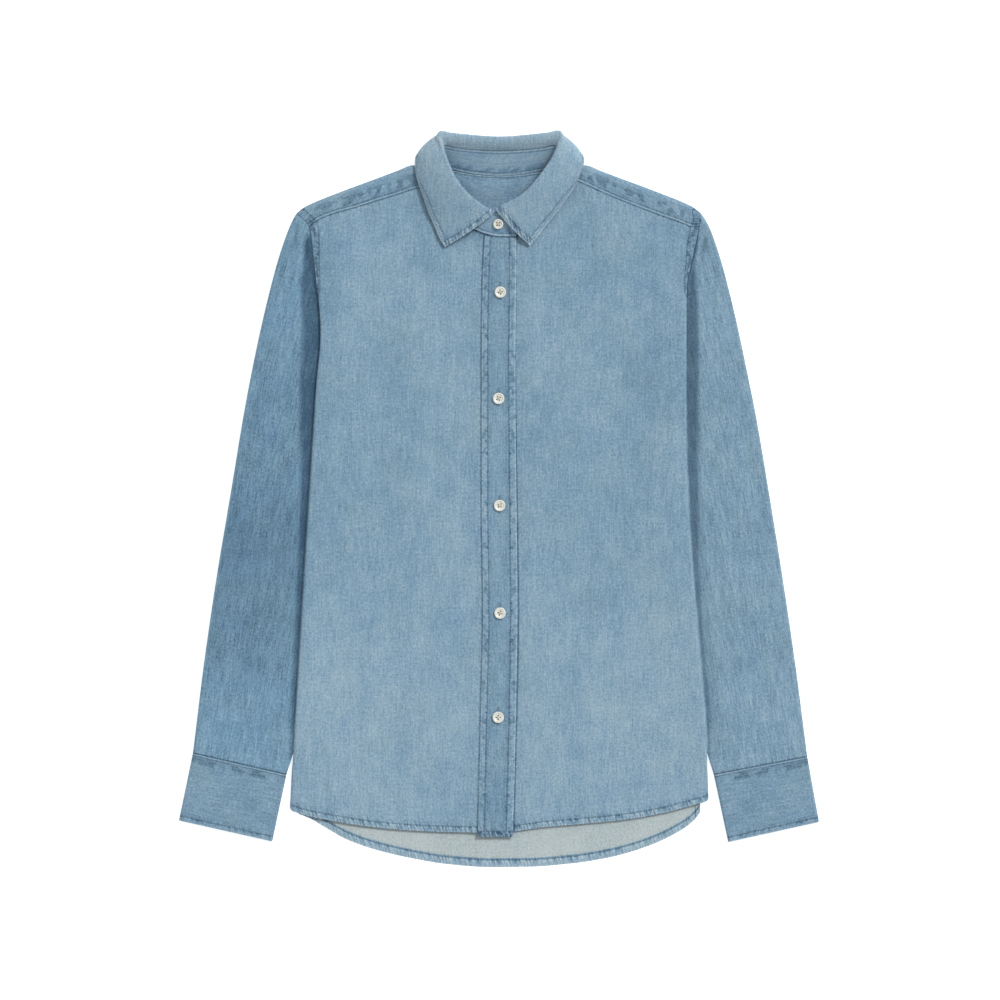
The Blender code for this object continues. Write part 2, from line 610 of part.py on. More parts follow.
def round_neck_column(side, fold_x, turn_end, reaches_front=False):
    """A line of the yoke that ends on its neck edge, on the shoulder fold."""
    fold = np.array([side * fold_x, float(follow(SHOULDER_FOLD, "along", "y", 0.0))])
    bulge = np.array([side * 0.2, 0.98])
    turns = 5 if reaches_front else 7
    arc = fold_path(fold, bulge, np.linspace(0.0, turn_end, turns))
    back = back_of_yoke((side * fold_x * 0.8, BACK_YOKE_Y + SEAM_GAP / 2.0), arc[0, :2])
    if not reaches_front:
        return np.concatenate([back, arc])
    end = between(arc[-1, :2], yoke_seam_point(side, 0.0), 0.5) - np.array([side * 1.3, 0.0])
    plan = between(arc[-1, :2], end, np.array([0.5, 1.0])[:, None])
    front = surface(plan[:, 0], plan[:, 1], body_top(plan[:, 0], plan[:, 1]))
    return np.concatenate([back, arc, front])


def back_neck_column(x):
    """A line of the yoke that stops at the back neck."""
    start = np.array([x * 0.8, BACK_YOKE_Y + SEAM_GAP / 2.0])
    end = np.array([x, back_neck_y(x)])
    share = np.concatenate([[0.0, 0.25, 0.5, 0.75, 0.9], np.linspace(0.93, 1.0, 7)])
    plan = between(start, end, share[:, None])
    return surface(plan[:, 0], plan[:, 1], back_under(plan[:, 0], plan[:, 1]))


def half_yoke(side):
    """Columns from the armhole to the back neck."""
    columns = [armhole_column(side)]
    for place in YOKE_SEAM_PLACES[::-1]:
        columns.append(shoulder_column(side, place))
    columns.append(round_neck_column(side, 67.4, math.pi, reaches_front=True))
    columns.append(round_neck_column(side, 66.0, math.pi))
    columns.append(round_neck_column(side, 64.4, math.pi * 0.5))
    columns.append(round_neck_column(side, 62.6, math.pi * 0.1))
    for x in (58.0, 50.0, 38.0, 20.0):
        columns.append(back_neck_column(side * x))
    return columns


def make_yoke(denim):
    columns = half_yoke(WEARERS_RIGHT) + [back_neck_column(0.0)] + half_yoke(WEARERS_LEFT)[::-1]
    grid = np.array(columns).transpose(1, 0, 2)
    cloth_wall("yoke", grid, np.full(grid.shape[:2], CLOTH), 1, denim)


# ---- Sleeves and cuffs ----

def sleeve_fold_top(y):
    top = SLEEVE_FOLD_TOP + (SHOULDER_TOP - SLEEVE_FOLD_TOP) * ease((y - 250.0) / 30.0)
    return top + (CUFF_TOP - 0.4 - top) * ease((-195.0 - y) / 60.0)


def row_ends(side, row):
    """The plan points on the outer fold and on the armhole seam or the inner fold."""
    if row is SLEEVE_ROWS[-1]:
        join = CUFF_JOIN[side]
        return (np.array([join.outer_x, join.outer_y + SEAM_GAP]),
                np.array([join.inner_x, join.inner_y + SEAM_GAP]))
    outer = np.array([float(sleeve_edge_x(side, row.outer_y)), row.outer_y])
    if row.inner_y < UNDERARM_Y:
        return outer, np.array([float(inner_fold_x(side, row.inner_y)), row.inner_y])
    inner = np.array([float(seam_x(side, row.inner_y)) + side * SEAM_GAP / 2.0, row.inner_y])
    if row is SLEEVE_ROWS[0]:
        shift = np.array([side, -1.0]) * SEAM_GAP / 2.0 * 0.71
        return outer + shift, inner - np.array([side * SEAM_GAP / 2.0, 0.0]) + shift
    return outer, inner


def hidden_length(side, outer, inner):
    """How much of a row lies under the body, from its inner end."""
    share = np.linspace(0.0, 1.0, 600)
    plan = between(inner, outer, share[:, None])
    outside = side * (plan[:, 0] - body_edge_x(side, plan[:, 1])) > 0.0
    length = np.linalg.norm(outer - inner)
    return float(share[np.argmax(outside)]) * length


def fold_round(tip, inward, height, inset, steps):
    """Points round a fold from its upper side to its lower one."""
    angle = math.pi * (np.arange(steps) + 1.0) / (steps + 1.0)
    out = height / 2.0 - (height / 2.0 - inset) * np.sin(angle)
    z = height / 2.0 + (height / 2.0 - inset) * np.cos(angle)
    return surface(tip[0] + inward[0] * out, tip[1] + inward[1] * out, z)


def flattened_ring(outer, inner, upper, lower, heights, top_of, inset, is_open):
    """A ring of flattened cloth: the upper layer, the inner fold, the lower layer, the outer fold.

    Upper and lower are lengths from the inner end. An open ring has no inner fold.
    """
    length = np.linalg.norm(outer - inner)
    inward = (inner - outer) / length
    outer_height, inner_height = heights
    end = 0.0 if is_open else inner_height / 2.0
    upper = np.clip(upper, end, length - outer_height / 2.0)
    plan = between(inner, outer, upper[:, None] / length)
    z = np.array(top_of(plan[:, 0], plan[:, 1]), float)
    z[0] = outer_height
    if not is_open:
        z[-1] = inner_height
    top = surface(plan[:, 0], plan[:, 1], z - inset)
    below = between(end, length - outer_height / 2.0, lower)
    plan = between(inner, outer, below[:, None] / length)
    bottom = surface(plan[:, 0], plan[:, 1], inset)
    inner_fold = fold_round(inner, -inward, inner_height, inset, FOLD_STEPS)
    outer_fold = fold_round(outer, inward, outer_height, inset, FOLD_STEPS)[::-1]
    return np.concatenate([top, inner_fold, bottom, outer_fold])


def sleeve_ring(side, row, inset):
    outer, inner = row_ends(side, row)
    length = np.linalg.norm(outer - inner)
    hidden = max(hidden_length(side, outer, inner), 0.05 * length)
    is_open = row.inner_y >= UNDERARM_Y
    scale = min(1.0, (length - hidden) / 42.0)
    beside = hidden + np.array(BESIDE_BODY) * scale
    tangent = length - sleeve_fold_top(row.outer_y) / 2.0
    outer_part = between(tangent, beside[0], np.array(UPPER_OUTER_SHARES))
    inner_top = float(sleeve_top(side, inner[0], inner[1]))
    end = 0.0 if is_open else inner_top / 2.0
    upper = np.concatenate([outer_part, beside[1:], [hidden, between(end, hidden, 0.5), end]])
    heights = (float(sleeve_fold_top(row.outer_y)), inner_top)
    return flattened_ring(outer, inner, upper, 1.0 - np.array(LOWER_SHARES), heights,
                          lambda x, y: sleeve_top(side, x, y), inset, is_open)


def make_sleeve(side, name, denim):
    outer = np.array([sleeve_ring(side, row, 0.0) for row in SLEEVE_ROWS])
    inner = np.array([sleeve_ring(side, row, CLOTH) for row in SLEEVE_ROWS])
    first_closed = [row.inner_y for row in SLEEVE_ROWS].index(UNDERARM_Y)
    upper_count = len(UPPER_OUTER_SHARES) + len(BESIDE_BODY) - 1 + 3
    starts = {upper_count - 1 + step: first_closed + 1 for step in range(FOLD_STEPS + 1)}
    closed_wall(name, outer, inner, denim, is_ring=True, span_starts=starts)


def make_cuff(side, name, denim):
    join, foot = CUFF_JOIN[side], CUFF_FOOT[side]
    grids = []
    for inset in (0.0, CUFF_WALL):
        rings = []
        for down in (0.0, 0.06, 0.5, 0.93, 1.0):
            outer = between(np.array([join.outer_x, join.outer_y]), np.array([foot.outer_x, foot.outer_y]), down)
            inner = between(np.array([join.inner_x, join.inner_y]), np.array([foot.inner_x, foot.inner_y]), down)
            length = np.linalg.norm(outer - inner)
            upper = length * np.linspace(1.0, 0.0, 8)
            rings.append(flattened_ring(outer, inner, upper, np.linspace(0.0, 1.0, 6), (CUFF_TOP, CUFF_TOP),
                                        lambda x, y: np.full_like(x, CUFF_TOP), inset, False))
        grids.append(np.array(rings))
    closed_wall(name, grids[0], grids[1], denim, is_ring=True)


# ---- Collar ----

# The stand, as the middle of its wall: its lower edge and its upper edge, from the top end at the
# front (0), round the wearer's right, the back (1) and the wearer's left, to the end under it (2).
Stand = namedtuple("Stand", "round low_x low_y low_z high_x high_y high_z")
STAND = (
    Stand(0.00, 16.6, 258.9, 5.1, 13.5, 277.0, 10.6), Stand(0.10, -1.0, 259.3, 5.1, -3.0, 280.6, 12.0),
    Stand(0.18, -13.0, 261.8, 5.1, -12.5, 283.4, 12.9), Stand(0.30, -31.8, 270.6, 4.9, -25.5, 292.2, 15.2),
    Stand(0.42, -47.6, 284.3, 5.2, -38.0, 305.5, 17.6), Stand(0.52, -56.4, 299.0, 6.4, -46.5, 318.0, 19.5),
    Stand(0.61, -60.4, 315.5, 8.0, -52.0, 333.0, 20.4), Stand(0.68, -60.4, 326.4, 8.0, -55.0, 344.6, 19.6),
    Stand(0.74, -54.8, 328.6, 6.0, -52.5, 348.6, 17.3), Stand(0.80, -46.0, 325.6, 4.8, -44.5, 347.4, 16.6),
    Stand(0.90, -24.0, 321.4, 4.5, -23.5, 345.0, 16.4), Stand(1.00, 0.0, 319.6, 4.5, 0.0, 344.0, 16.3),
    Stand(1.10, 24.0, 321.4, 4.5, 23.5, 345.0, 16.4), Stand(1.20, 46.0, 325.6, 4.8, 45.5, 347.4, 16.6),
    Stand(1.26, 54.8, 328.6, 6.0, 54.0, 348.6, 17.3), Stand(1.32, 60.4, 326.4, 8.0, 57.0, 343.6, 19.6),
    Stand(1.39, 59.6, 317.0, 8.0, 52.5, 331.5, 20.4), Stand(1.48, 56.2, 301.0, 6.2, 44.5, 317.0, 19.2),
    Stand(1.58, 47.2, 282.6, 4.4, 33.5, 303.0, 16.6), Stand(1.70, 31.6, 268.4, 3.0, 18.5, 292.0, 13.4),
    Stand(1.82, 13.5, 259.8, 2.45, 6.0, 283.6, 9.8), Stand(2.00, -11.0, 260.4, 2.45, -11.5, 280.0, 8.6),
)

# The collar leaf, as the middle of its wall: where it starts on the stand, its roll, the middle of
# its fall and its free edge, from the wearer's right point round the back to the left one.
Leaf = namedtuple("Leaf", "round stand roll_x roll_y roll_z mid_x mid_y mid_z edge_x edge_y edge_z")
LEAF = (
    Leaf(0.00, 0.115, -5.0, 280.6, 16.6, -24.0, 263.4, 13.2, -52.6, 247.4, 7.2),
    Leaf(0.10, 0.170, -10.5, 282.4, 18.0, -32.0, 267.0, 14.4, -56.6, 253.0, 7.2),
    Leaf(0.22, 0.250, -20.0, 288.4, 19.4, -43.0, 276.5, 15.2, -60.8, 262.2, 7.4),
    Leaf(0.36, 0.380, -35.0, 300.8, 22.2, -55.0, 290.5, 17.8, -67.4, 278.0, 7.8),
    Leaf(0.48, 0.485, -44.2, 313.4, 23.8, -63.5, 304.5, 19.8, -73.0, 293.0, 9.0),
    Leaf(0.58, 0.570, -50.2, 326.0, 24.0, -70.0, 317.5, 20.0, -78.0, 307.5, 10.6),
    Leaf(0.66, 0.640, -54.6, 338.0, 24.4, -74.5, 329.5, 19.6, -81.0, 319.5, 11.4),
    Leaf(0.72, 0.690, -57.2, 347.5, 24.4, -76.5, 339.5, 17.6, -82.0, 328.5, 10.2),
    Leaf(0.77, 0.720, -58.6, 356.0, 24.0, -75.5, 348.5, 11.0, -81.8, 333.4, 5.4),
    Leaf(0.81, 0.745, -55.0, 359.4, 23.6, -66.5, 352.0, 0.0, -79.0, 328.0, 1.1),
    Leaf(0.86, 0.800, -46.0, 359.4, 23.6, -52.5, 350.0, -3.5, -66.0, 316.5, 1.1),
    Leaf(0.93, 0.900, -24.0, 356.6, 23.6, -27.0, 346.0, -3.5, -33.0, 312.5, 1.1),
    Leaf(1.00, 1.000, 0.0, 354.8, 23.6, 0.0, 344.5, -3.5, 0.0, 311.5, 1.1),
    Leaf(1.07, 1.100, 24.0, 356.6, 23.6, 27.0, 346.0, -3.5, 33.0, 312.5, 1.1),
    Leaf(1.14, 1.200, 47.0, 359.4, 23.6, 53.0, 350.0, -3.5, 66.0, 316.5, 1.1),
    Leaf(1.19, 1.255, 57.0, 359.4, 23.6, 68.0, 352.0, 0.0, 80.0, 328.0, 1.1),
    Leaf(1.23, 1.285, 60.4, 356.0, 24.0, 77.0, 347.5, 11.0, 83.0, 333.0, 5.4),
    Leaf(1.28, 1.310, 59.6, 346.0, 24.4, 77.5, 338.5, 17.6, 82.6, 327.0, 10.4),
    Leaf(1.34, 1.370, 54.2, 334.6, 24.4, 73.0, 327.5, 19.6, 78.2, 316.0, 11.4),
    Leaf(1.42, 1.437, 47.0, 324.0, 23.9, 66.0, 316.0, 19.2, 72.4, 303.8, 10.2),
    Leaf(1.52, 1.517, 38.0, 312.4, 23.4, 56.5, 303.0, 18.8, 63.8, 291.6, 8.4),
    Leaf(1.64, 1.620, 26.4, 299.4, 21.6, 43.0, 288.5, 16.8, 52.8, 276.8, 7.5),
    Leaf(1.78, 1.758, 10.0, 289.6, 18.6, 28.0, 275.5, 14.4, 42.2, 263.6, 7.3),
    Leaf(1.90, 1.860, 0.5, 285.6, 16.6, 18.5, 268.5, 13.2, 34.6, 253.6, 7.3),
    Leaf(2.00, 1.905, -3.2, 283.2, 15.8, 10.5, 265.8, 12.4, 30.2, 248.6, 7.3),
)
ROLL_RADIUS = 1.5
BACK_ROLL_RADIUS = 2.3
ROLL_TURNS = (-90.0, -45.0, 0.0, 45.0, 90.0)


def stand_point(round_to, high):
    """A point of the stand's middle, between its lower (0) and upper (1) edge."""
    low = [follow(STAND, "round", column, round_to) for column in ("low_x", "low_y", "low_z")]
    top = [follow(STAND, "round", column, round_to) for column in ("high_x", "high_y", "high_z")]
    return between(surface(*low), surface(*top), np.asarray(high)[..., None])


def make_collar_stand(denim):
    rounds = np.array([0.0, 0.06] + [row.stand for row in LEAF] + [1.95, 2.0])[:, None]
    grid = stand_point(rounds, np.array([0.0, 0.4, 0.8, 1.0])[None, :])
    cloth_wall("collar_stand", grid, np.full(grid.shape[:2], DOUBLED), 1, denim, moved_out=DOUBLED / 2.0)


def unit(vectors):
    return vectors / np.linalg.norm(vectors, axis=-1, keepdims=True)


def make_collar(denim):
    on_stand = np.array([row.stand for row in LEAF])
    stand_top = stand_point(on_stand, np.ones(len(on_stand)))
    stand_rise = unit(stand_top - stand_point(on_stand, np.zeros(len(on_stand))))
    roll, mid, edge = (
        surface(*[np.array([getattr(row, f"{part}_{axis}") for row in LEAF]) for axis in "xyz"])
        for part in ("roll", "mid", "edge"))
    bend = np.linalg.norm(np.cross(stand_rise, unit(roll - stand_top)), axis=-1, keepdims=True)
    base = stand_top + stand_rise * (SEAM_GAP + bend * DOUBLED / 2.0)
    rise = unit(roll - base)
    around = unit(np.gradient(roll, axis=0))
    out = unit(np.cross(rise, around))
    radius = between(ROLL_RADIUS, BACK_ROLL_RADIUS, ease((roll[:, 1:2] - 342.0) / 12.0))
    centre = roll - rise * radius
    rows = [base]
    for degrees in ROLL_TURNS:
        turn = math.radians(degrees)
        rows.append(centre + radius * (out * math.sin(turn) + rise * math.cos(turn)))
    fall = rows[-1]
    for share in (0.14, 0.3, 0.48, 0.66, 0.84, 1.0):
        near = between(fall, mid, share)
        far = between(mid, edge, share)
        rows.append(between(near, far, share))
    grid = np.array(rows).transpose(1, 0, 2)
    grid[..., 2] = np.maximum(grid[..., 2], DOUBLED / 2.0 + 0.03)
    cloth_wall("collar", grid, np.full(grid.shape[:2], DOUBLED), 1, denim, moved_out=DOUBLED / 2.0)


# ---- Buttons ----

def button_mesh(diameter, pearl):
    """A turned button with a raised rim and four holes right through it."""
    radius = diameter / 2.0
    profile = ((0.0, 0.0), (radius - 1.0, 0.0), (radius, 0.9), (radius - 0.1, 1.9), (radius - 0.7, BUTTON_THICKNESS),
               (radius - BUTTON_RIM, 2.1), (radius - BUTTON_RIM - 0.8, 1.5), (0.0, 1.5))
    sides = 12
    work = bmesh.new()
    lines = []
    for out, up in profile:
        if out == 0.0:
            lines.append([work.verts.new((0.0, 0.0, up * MM))])
            continue
        line = []
        for step in range(sides):
            angle = 2.0 * math.pi * step / sides
            line.append(work.verts.new((out * MM * math.cos(angle), out * MM * math.sin(angle), up * MM)))
        lines.append(line)
    for low, high in zip(lines, lines[1:]):
        for step in range(sides):
            after = (step + 1) % sides
            if len(low) == 1:
                work.faces.new((low[0], high[after], high[step]))
            elif len(high) == 1:
                work.faces.new((low[step], low[after], high[0]))
            else:
                work.faces.new((low[step], low[after], high[after], high[step]))
    disc = bpy.data.meshes.new("button_disc")
    work.to_mesh(disc)
    work.free()
    solid = finished("button_solid", disc, pearl)
    cutter_work = bmesh.new()
    for turn in range(4):
        angle = math.pi * (0.25 + 0.5 * turn)
        place = Vector((math.cos(angle), math.sin(angle), 0.0)) * BUTTON_HOLE_SPACING / math.sqrt(2.0) * MM
        place.z = BUTTON_THICKNESS * MM / 2.0
        hole_radius = BUTTON_HOLE_DIAMETER / 2.0 * MM
        bmesh.ops.create_cone(cutter_work, cap_ends=True, segments=6, radius1=hole_radius, radius2=hole_radius,
                              depth=2.0 * BUTTON_THICKNESS * MM, matrix=Matrix.Translation(place))
    holes_mesh = bpy.data.meshes.new("button_holes")
    cutter_work.to_mesh(holes_mesh)
    cutter_work.free()
    holes = bpy.data.objects.new("button_holes", holes_mesh)
    bpy.context.scene.collection.objects.link(holes)
    cut = solid.modifiers.new("holes", "BOOLEAN")
    cut.operation = "DIFFERENCE"
    cut.object = holes
    shaped = bpy.data.meshes.new_from_object(solid.evaluated_get(bpy.context.evaluated_depsgraph_get()))
    bpy.data.objects.remove(solid)
    bpy.data.objects.remove(holes)
    return shaped


def make_buttons(pearl):
    front = button_mesh(BUTTON_DIAMETER, pearl)
    for place in FRONT_BUTTONS:
        button = bpy.data.objects.new(place.name, front)
        button.location = (place.x * MM, place.y * MM, (PLACKET_TOP + SEAM_GAP) * MM)
        bpy.context.scene.collection.objects.link(button)
    low, high = stand_point(0.10, 0.0), stand_point(0.10, 1.0)
    tilt = math.atan2(high[2] - low[2], high[1] - low[1])
    share = (COLLAR_BUTTON.y - low[1]) / (high[1] - low[1])
    middle_z = between(low[2], high[2], share)
    lift = DOUBLED / 2.0 + SEAM_GAP
    button = bpy.data.objects.new(COLLAR_BUTTON.name, button_mesh(COLLAR_BUTTON_DIAMETER, pearl))
    button.location = (COLLAR_BUTTON.x * MM, (COLLAR_BUTTON.y - lift * math.sin(tilt)) * MM,
                       (middle_z + lift * math.cos(tilt)) * MM)
    button.rotation_euler = (tilt, 0.0, 0.0)
    bpy.context.scene.collection.objects.link(button)


# ---- Materials and the whole ----

def plain_material(name, colour, roughness):
    material = bpy.data.materials.new(name)
    material.use_nodes = True
    shader = material.node_tree.nodes["Principled BSDF"]
    shader.inputs["Base Color"].default_value = colour
    shader.inputs["Roughness"].default_value = roughness
    shader.inputs["Metallic"].default_value = 0.0
    material.diffuse_color = colour
    return material


def empty_scene():
    for thing in list(bpy.data.objects):
        bpy.data.objects.remove(thing)


def main():
    empty_scene()
    denim = {}
    for piece in ("front_right", "front_left", "placket", "back", "yoke", "sleeve_right", "sleeve_left",
                  "cuff_right", "cuff_left", "collar_stand", "collar"):
        denim[piece] = plain_material(f"{piece}_denim", DENIM, 0.85)
    pearl = plain_material("button_pearl", PEARL, 0.35)
    make_back(denim["back"])
    make_yoke(denim["yoke"])
    make_front_left(denim["front_left"])
    make_front_right(denim["front_right"])
    make_placket(denim["placket"])
    for side, hand in ((WEARERS_RIGHT, "right"), (WEARERS_LEFT, "left")):
        make_sleeve(side, f"sleeve_{hand}", denim[f"sleeve_{hand}"])
        make_cuff(side, f"cuff_{hand}", denim[f"cuff_{hand}"])
    make_collar_stand(denim["collar_stand"])
    make_collar(denim["collar"])
    make_buttons(pearl)


main()
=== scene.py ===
"""The looks of a woman's denim shirt, buttoned up and laid flat on its back.

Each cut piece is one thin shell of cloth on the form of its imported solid, with its own creases,
seams and wear; stitches, buttonholes and buttons are sewn on it. The script is laid out as an
add-on: sizes and colours are properties, and there is an operator for each piece or like pieces.
Tables are in millimetres, and MM turns them into Blender's metres.
"""
import math
from collections import namedtuple

import bmesh
import bpy
import numpy as np
from mathutils import Matrix, Vector


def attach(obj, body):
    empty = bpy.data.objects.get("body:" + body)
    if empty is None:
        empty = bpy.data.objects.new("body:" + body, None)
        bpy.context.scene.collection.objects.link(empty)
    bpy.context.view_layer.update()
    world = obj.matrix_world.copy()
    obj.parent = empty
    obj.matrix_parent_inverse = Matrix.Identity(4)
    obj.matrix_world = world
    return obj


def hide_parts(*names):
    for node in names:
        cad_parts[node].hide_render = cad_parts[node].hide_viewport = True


bl_info = {
    "name": "Denim shirt",
    "version": (1, 0, 0),
    "blender": (4, 5, 0),
    "location": "View3D > Sidebar > Shirt",
    "description": "Cloth, seams, buttons and stage of a denim shirt that lies flat",
    "category": "Object",
}

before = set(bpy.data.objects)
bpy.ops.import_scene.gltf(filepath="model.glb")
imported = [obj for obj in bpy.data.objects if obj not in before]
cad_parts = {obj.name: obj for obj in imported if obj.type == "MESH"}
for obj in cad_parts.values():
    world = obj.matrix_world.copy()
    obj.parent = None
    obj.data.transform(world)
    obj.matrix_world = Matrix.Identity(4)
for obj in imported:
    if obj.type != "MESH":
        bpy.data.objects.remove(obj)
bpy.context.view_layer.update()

MM = 0.001
WEARERS_RIGHT = -1     # towards -X
WEARERS_LEFT = 1


def table(columns, *rows):
    """Rows of numbers that go by the names of their columns."""
    row = namedtuple("Row", columns)
    return tuple(row(*values) for values in rows)


def creases(*rows):
    """Soft ridges and troughs: from x, y to to_x, to_y, with a width, a height and a bow aside."""
    return table("x y to_x to_y width height bow", *rows)


# Cloth.
DOUBLED = 2.0          # two plies with interlining: placket, collar and stand
SEAM_GAP = 0.1
HEM_WIDTH = 6.8
FRONT_HEM_WIDTH = 5.4
HEM_CORNER = 5.0       # the radius of a front's corner at the side

# Heights of the layers above the surface.
MIDDLE_TOP = 4.2       # the fronts over the middle of the body
SHOULDER_TOP = 5.4     # the fold over the shoulder
UNDER_COLLAR_LIFT = 2.8
SLEEVE_FOLD_TOP = 4.9  # the outer fold of a sleeve
SLEEVE_RIDGE_TOP = 6.1
TUCKED_TOP = 2.6       # both layers of a sleeve where the body lies on them
SIDE_FOLD_UNDER = 2.95
UNDERLAP_TOP = 3.3     # the wearer's left front under the placket
PLACKET_TOP = 5.6

# How far from an edge the cloth begins to rise to it.
SIDE_REACH = 62.0
SHOULDER_REACH = 48.0
PLACKET_REACH = 12.0

# Where the body's side begins to roll over, where it has rolled right under, and what follows.
ROLL_START_Y = 213.0
ROLL_FULL_Y = 190.0
TURNED_UNDER = 5.5
# The level part of the strip at the side: where the side is still open, and where it has rolled.
LEVEL_STRIP, LEVEL_LEAD = 9.0, 2.0
UNDERARM_Y = 68.0
SLEEVE_CLEAR_Y = -248.0   # where a sleeve comes out from under the body
SHOULDER_TIP_Y = 281.0
BACK_YOKE_Y = 223.0
PLACKET_HEAD_Y = 258.2

# Where the hidden half of the collar lies under the shirt, with the widths of its soft edges.
COLLAR_UNDER_Y, COLLAR_UNDER_SOFT_Y = 294.0, 13.0
COLLAR_UNDER_X, COLLAR_UNDER_SOFT_X = 100.0, 15.0
SHOULDER_LIFT_X, SHOULDER_LIFT_SOFT = 106.0, 24.0

# The groove of a sleeve beside the armhole seam.
GROOVE_DEPTH = 3.2
GROOVE_WIDTH = 4.5
GROOVE_OUT, GROOVE_OUT_AT_HEAD = 2.0, 6.5

# The largest steps between the points of the pieces.
FRONT_STEP = 2.6
PLACKET_STEP = 2.4
BACK_STEP, HEM_STEP = 3.4, 2.0
YOKE_STEPS = (3.4, 3.6)
SLEEVE_STEP = 3.0
COLLAR_STEPS = (2.8, 2.6)

# The body's outline: the armhole seam down to 213, and from there the fold at its side.
BODY_EDGES = table(
    "y right left",
    (281, -198.2, 197.6), (274, -191.0, 198.0), (267, -185.4, 196.0), (255, -183.4, 193.6),
    (233, -181.0, 188.9), (212, -178.8, 184.4), (190, -176.4, 183.9), (165, -175.0, 183.8),
    (149, -175.6, 183.8), (118, -178.7, 183.8), (55, -182.8, 184.0), (-23, -187.7, 186.8),
    (-101, -192.6, 192.6), (-164, -196.5, 198.0), (-211, -199.4, 202.2), (-248, -201.5, 203.8),
    (-274, -203.6, 204.8), (-310, -205.2, 206.0),
)

# The height of the body's side, and of the cloth that it turns under.
SIDE_HEIGHTS = table(
    "y top under",
    (281, 5.4, 2.95), (240, 6.0, 2.95), (213, 6.6, 2.95), (190, 7.2, 2.95), (150, 7.5, 2.95),
    (90, 7.7, 2.95), (40, 8.3, 2.95), (-160, 8.1, 2.95), (-236, 7.2, 2.95), (-250, 6.6, 2.95),
    (-262, 5.9, 2.0), (-274, 5.4, 0.7), (-286, 5.1, 0.0), (-312, 5.0, 0.0),
)

# The shoulder fold and the front yoke seam, from the neck (0) to the armhole (1).
SHOULDER_FOLD = table(
    "along y",
    (0.00, 326.6), (0.12, 327.6), (0.24, 322.3), (0.37, 316.0), (0.65, 302.6), (0.865, 291.6),
    (0.95, 286.2), (1.00, 281.0),
)
YOKE_SEAM = table(
    "along right left",
    (0.00, 308.5, 317.0), (0.12, 306.2, 311.6), (0.33, 298.4, 299.2), (0.60, 288.0, 284.7),
    (0.895, 276.9, 270.3), (1.00, 268.6, 264.0),
)
NECK_POINT_X = 69.0
YOKE_SEAM_NECK_X = 63.0
BACK_NECK_Y = 317.5
BACK_NECK_RISE = 5.8       # at 49 from the middle
BACK_NECK_RISE_AT = 49.0

# The front neckline, from the placket to the yoke seam.
NECKLINE = table(
    "along x right left",
    (0.00, 14.0, 260.2, 258.4), (0.16, 22.0, 263.6, 260.4), (0.33, 33.0, 268.8, 266.4),
    (0.56, 47.0, 279.5, 277.5), (0.78, 57.5, 294.0, 296.0), (1.00, 63.0, 308.5, 317.0),
)
# Places that a front and the yoke share along their seam, from the neck to the side strip.
YOKE_SEAM_PLACES = (0.0, 0.14, 0.3, 0.46, 0.62, 0.78, 0.9, 1.0)
# Heights down the armhole that the yoke, the front, the back and the sleeve share.
ARMHOLE_YS = (274, 268.3, 257, 245, 233, 223, 213, 207, 201, 195, 189, 178, 160, 130, 100, 84, 68)

# The lower edge of each front, from the placket (0) to the side (1).
FRONT_HEM = table(
    "along right left",
    (0.00, -326.4, -325.6), (0.14, -326.0, -321.6), (0.37, -324.2, -317.8),
    (0.60, -320.4, -313.4), (0.80, -314.6, -306.6), (0.92, -310.4, -300.6),
    (1.00, -306.0, -296.6),
)
BACK_HEM = table(
    "x y",
    (-199, -307.5), (-186, -312.5), (-171.5, -321.0), (-148.5, -333.8), (-119.8, -343.8),
    (-85.3, -351.9), (-50.8, -357.6), (-8, -360.6), (29.7, -360.2), (72.8, -356.8),
    (110.3, -350.6), (144.7, -340.5), (173.5, -327.4), (190, -316.0), (199, -305.0),
)

# The placket's two edges.
PLACKET_EDGES = table(
    "y right left",
    (263, -13.4, 17.0), (245, -14.8, 17.0), (200, -16.4, 16.8), (140, -17.0, 16.2),
    (-6, -17.0, 17.3), (-105, -15.8, 18.2), (-210, -17.9, 16.7), (-332, -20.8, 13.7),
)
PLACKET_FOOT_Y = -330.6
UNDERLAP_EDGE_X = -11.0

# The outer fold of each sleeve.
SLEEVE_EDGES = table(
    "y right left",
    (281, -198.2, 197.6), (276, -201.2, 201.4), (268, -205.0, 205.9), (244.5, -213.6, 214.6),
    (221, -220.5, 221.5), (174, -232.1, 233.0), (127, -242.1, 243.0), (80, -250.9, 252.4),
    (9, -262.6, 264.4), (-73, -276.4, 277.6), (-167, -290.1, 291.4), (-252, -300.3, 302.3),
)

# How far a sleeve's inner fold lies in from the body's edge, under the body.
INNER_FOLD = table(
    "y tucked_in",
    (68, 8.0), (58, 12.0), (46, 19.0), (30, 27.0), (10, 33.5), (-15, 36.5), (-45, 36.0),
    (-90, 32.0), (-140, 24.0), (-190, 14.0), (-225, 6.0), (-248, 0.0), (-271, -5.6),
)

# Rows across a sleeve, from its outer fold to the armhole seam, and below that to its inner fold.
SLEEVE_ROWS = table(
    "outer_y inner_y",
    (281, 274), (275.5, 268.3), (267, 257), (256, 245), (244, 233), (233, 223), (224, 213),
    (218, 207), (212, 201), (206, 195), (200, 189), (189, 178), (171, 160), (142, 130),
    (113, 100), (97, 84), (81, 68), (73, 59), (60, 46), (43, 28), (18, 3), (-16, -31), (-60, -76),
    (-106, -123), (-150, -168), (-192, -210), (-226, -245), (-248.7, -269.6),
)

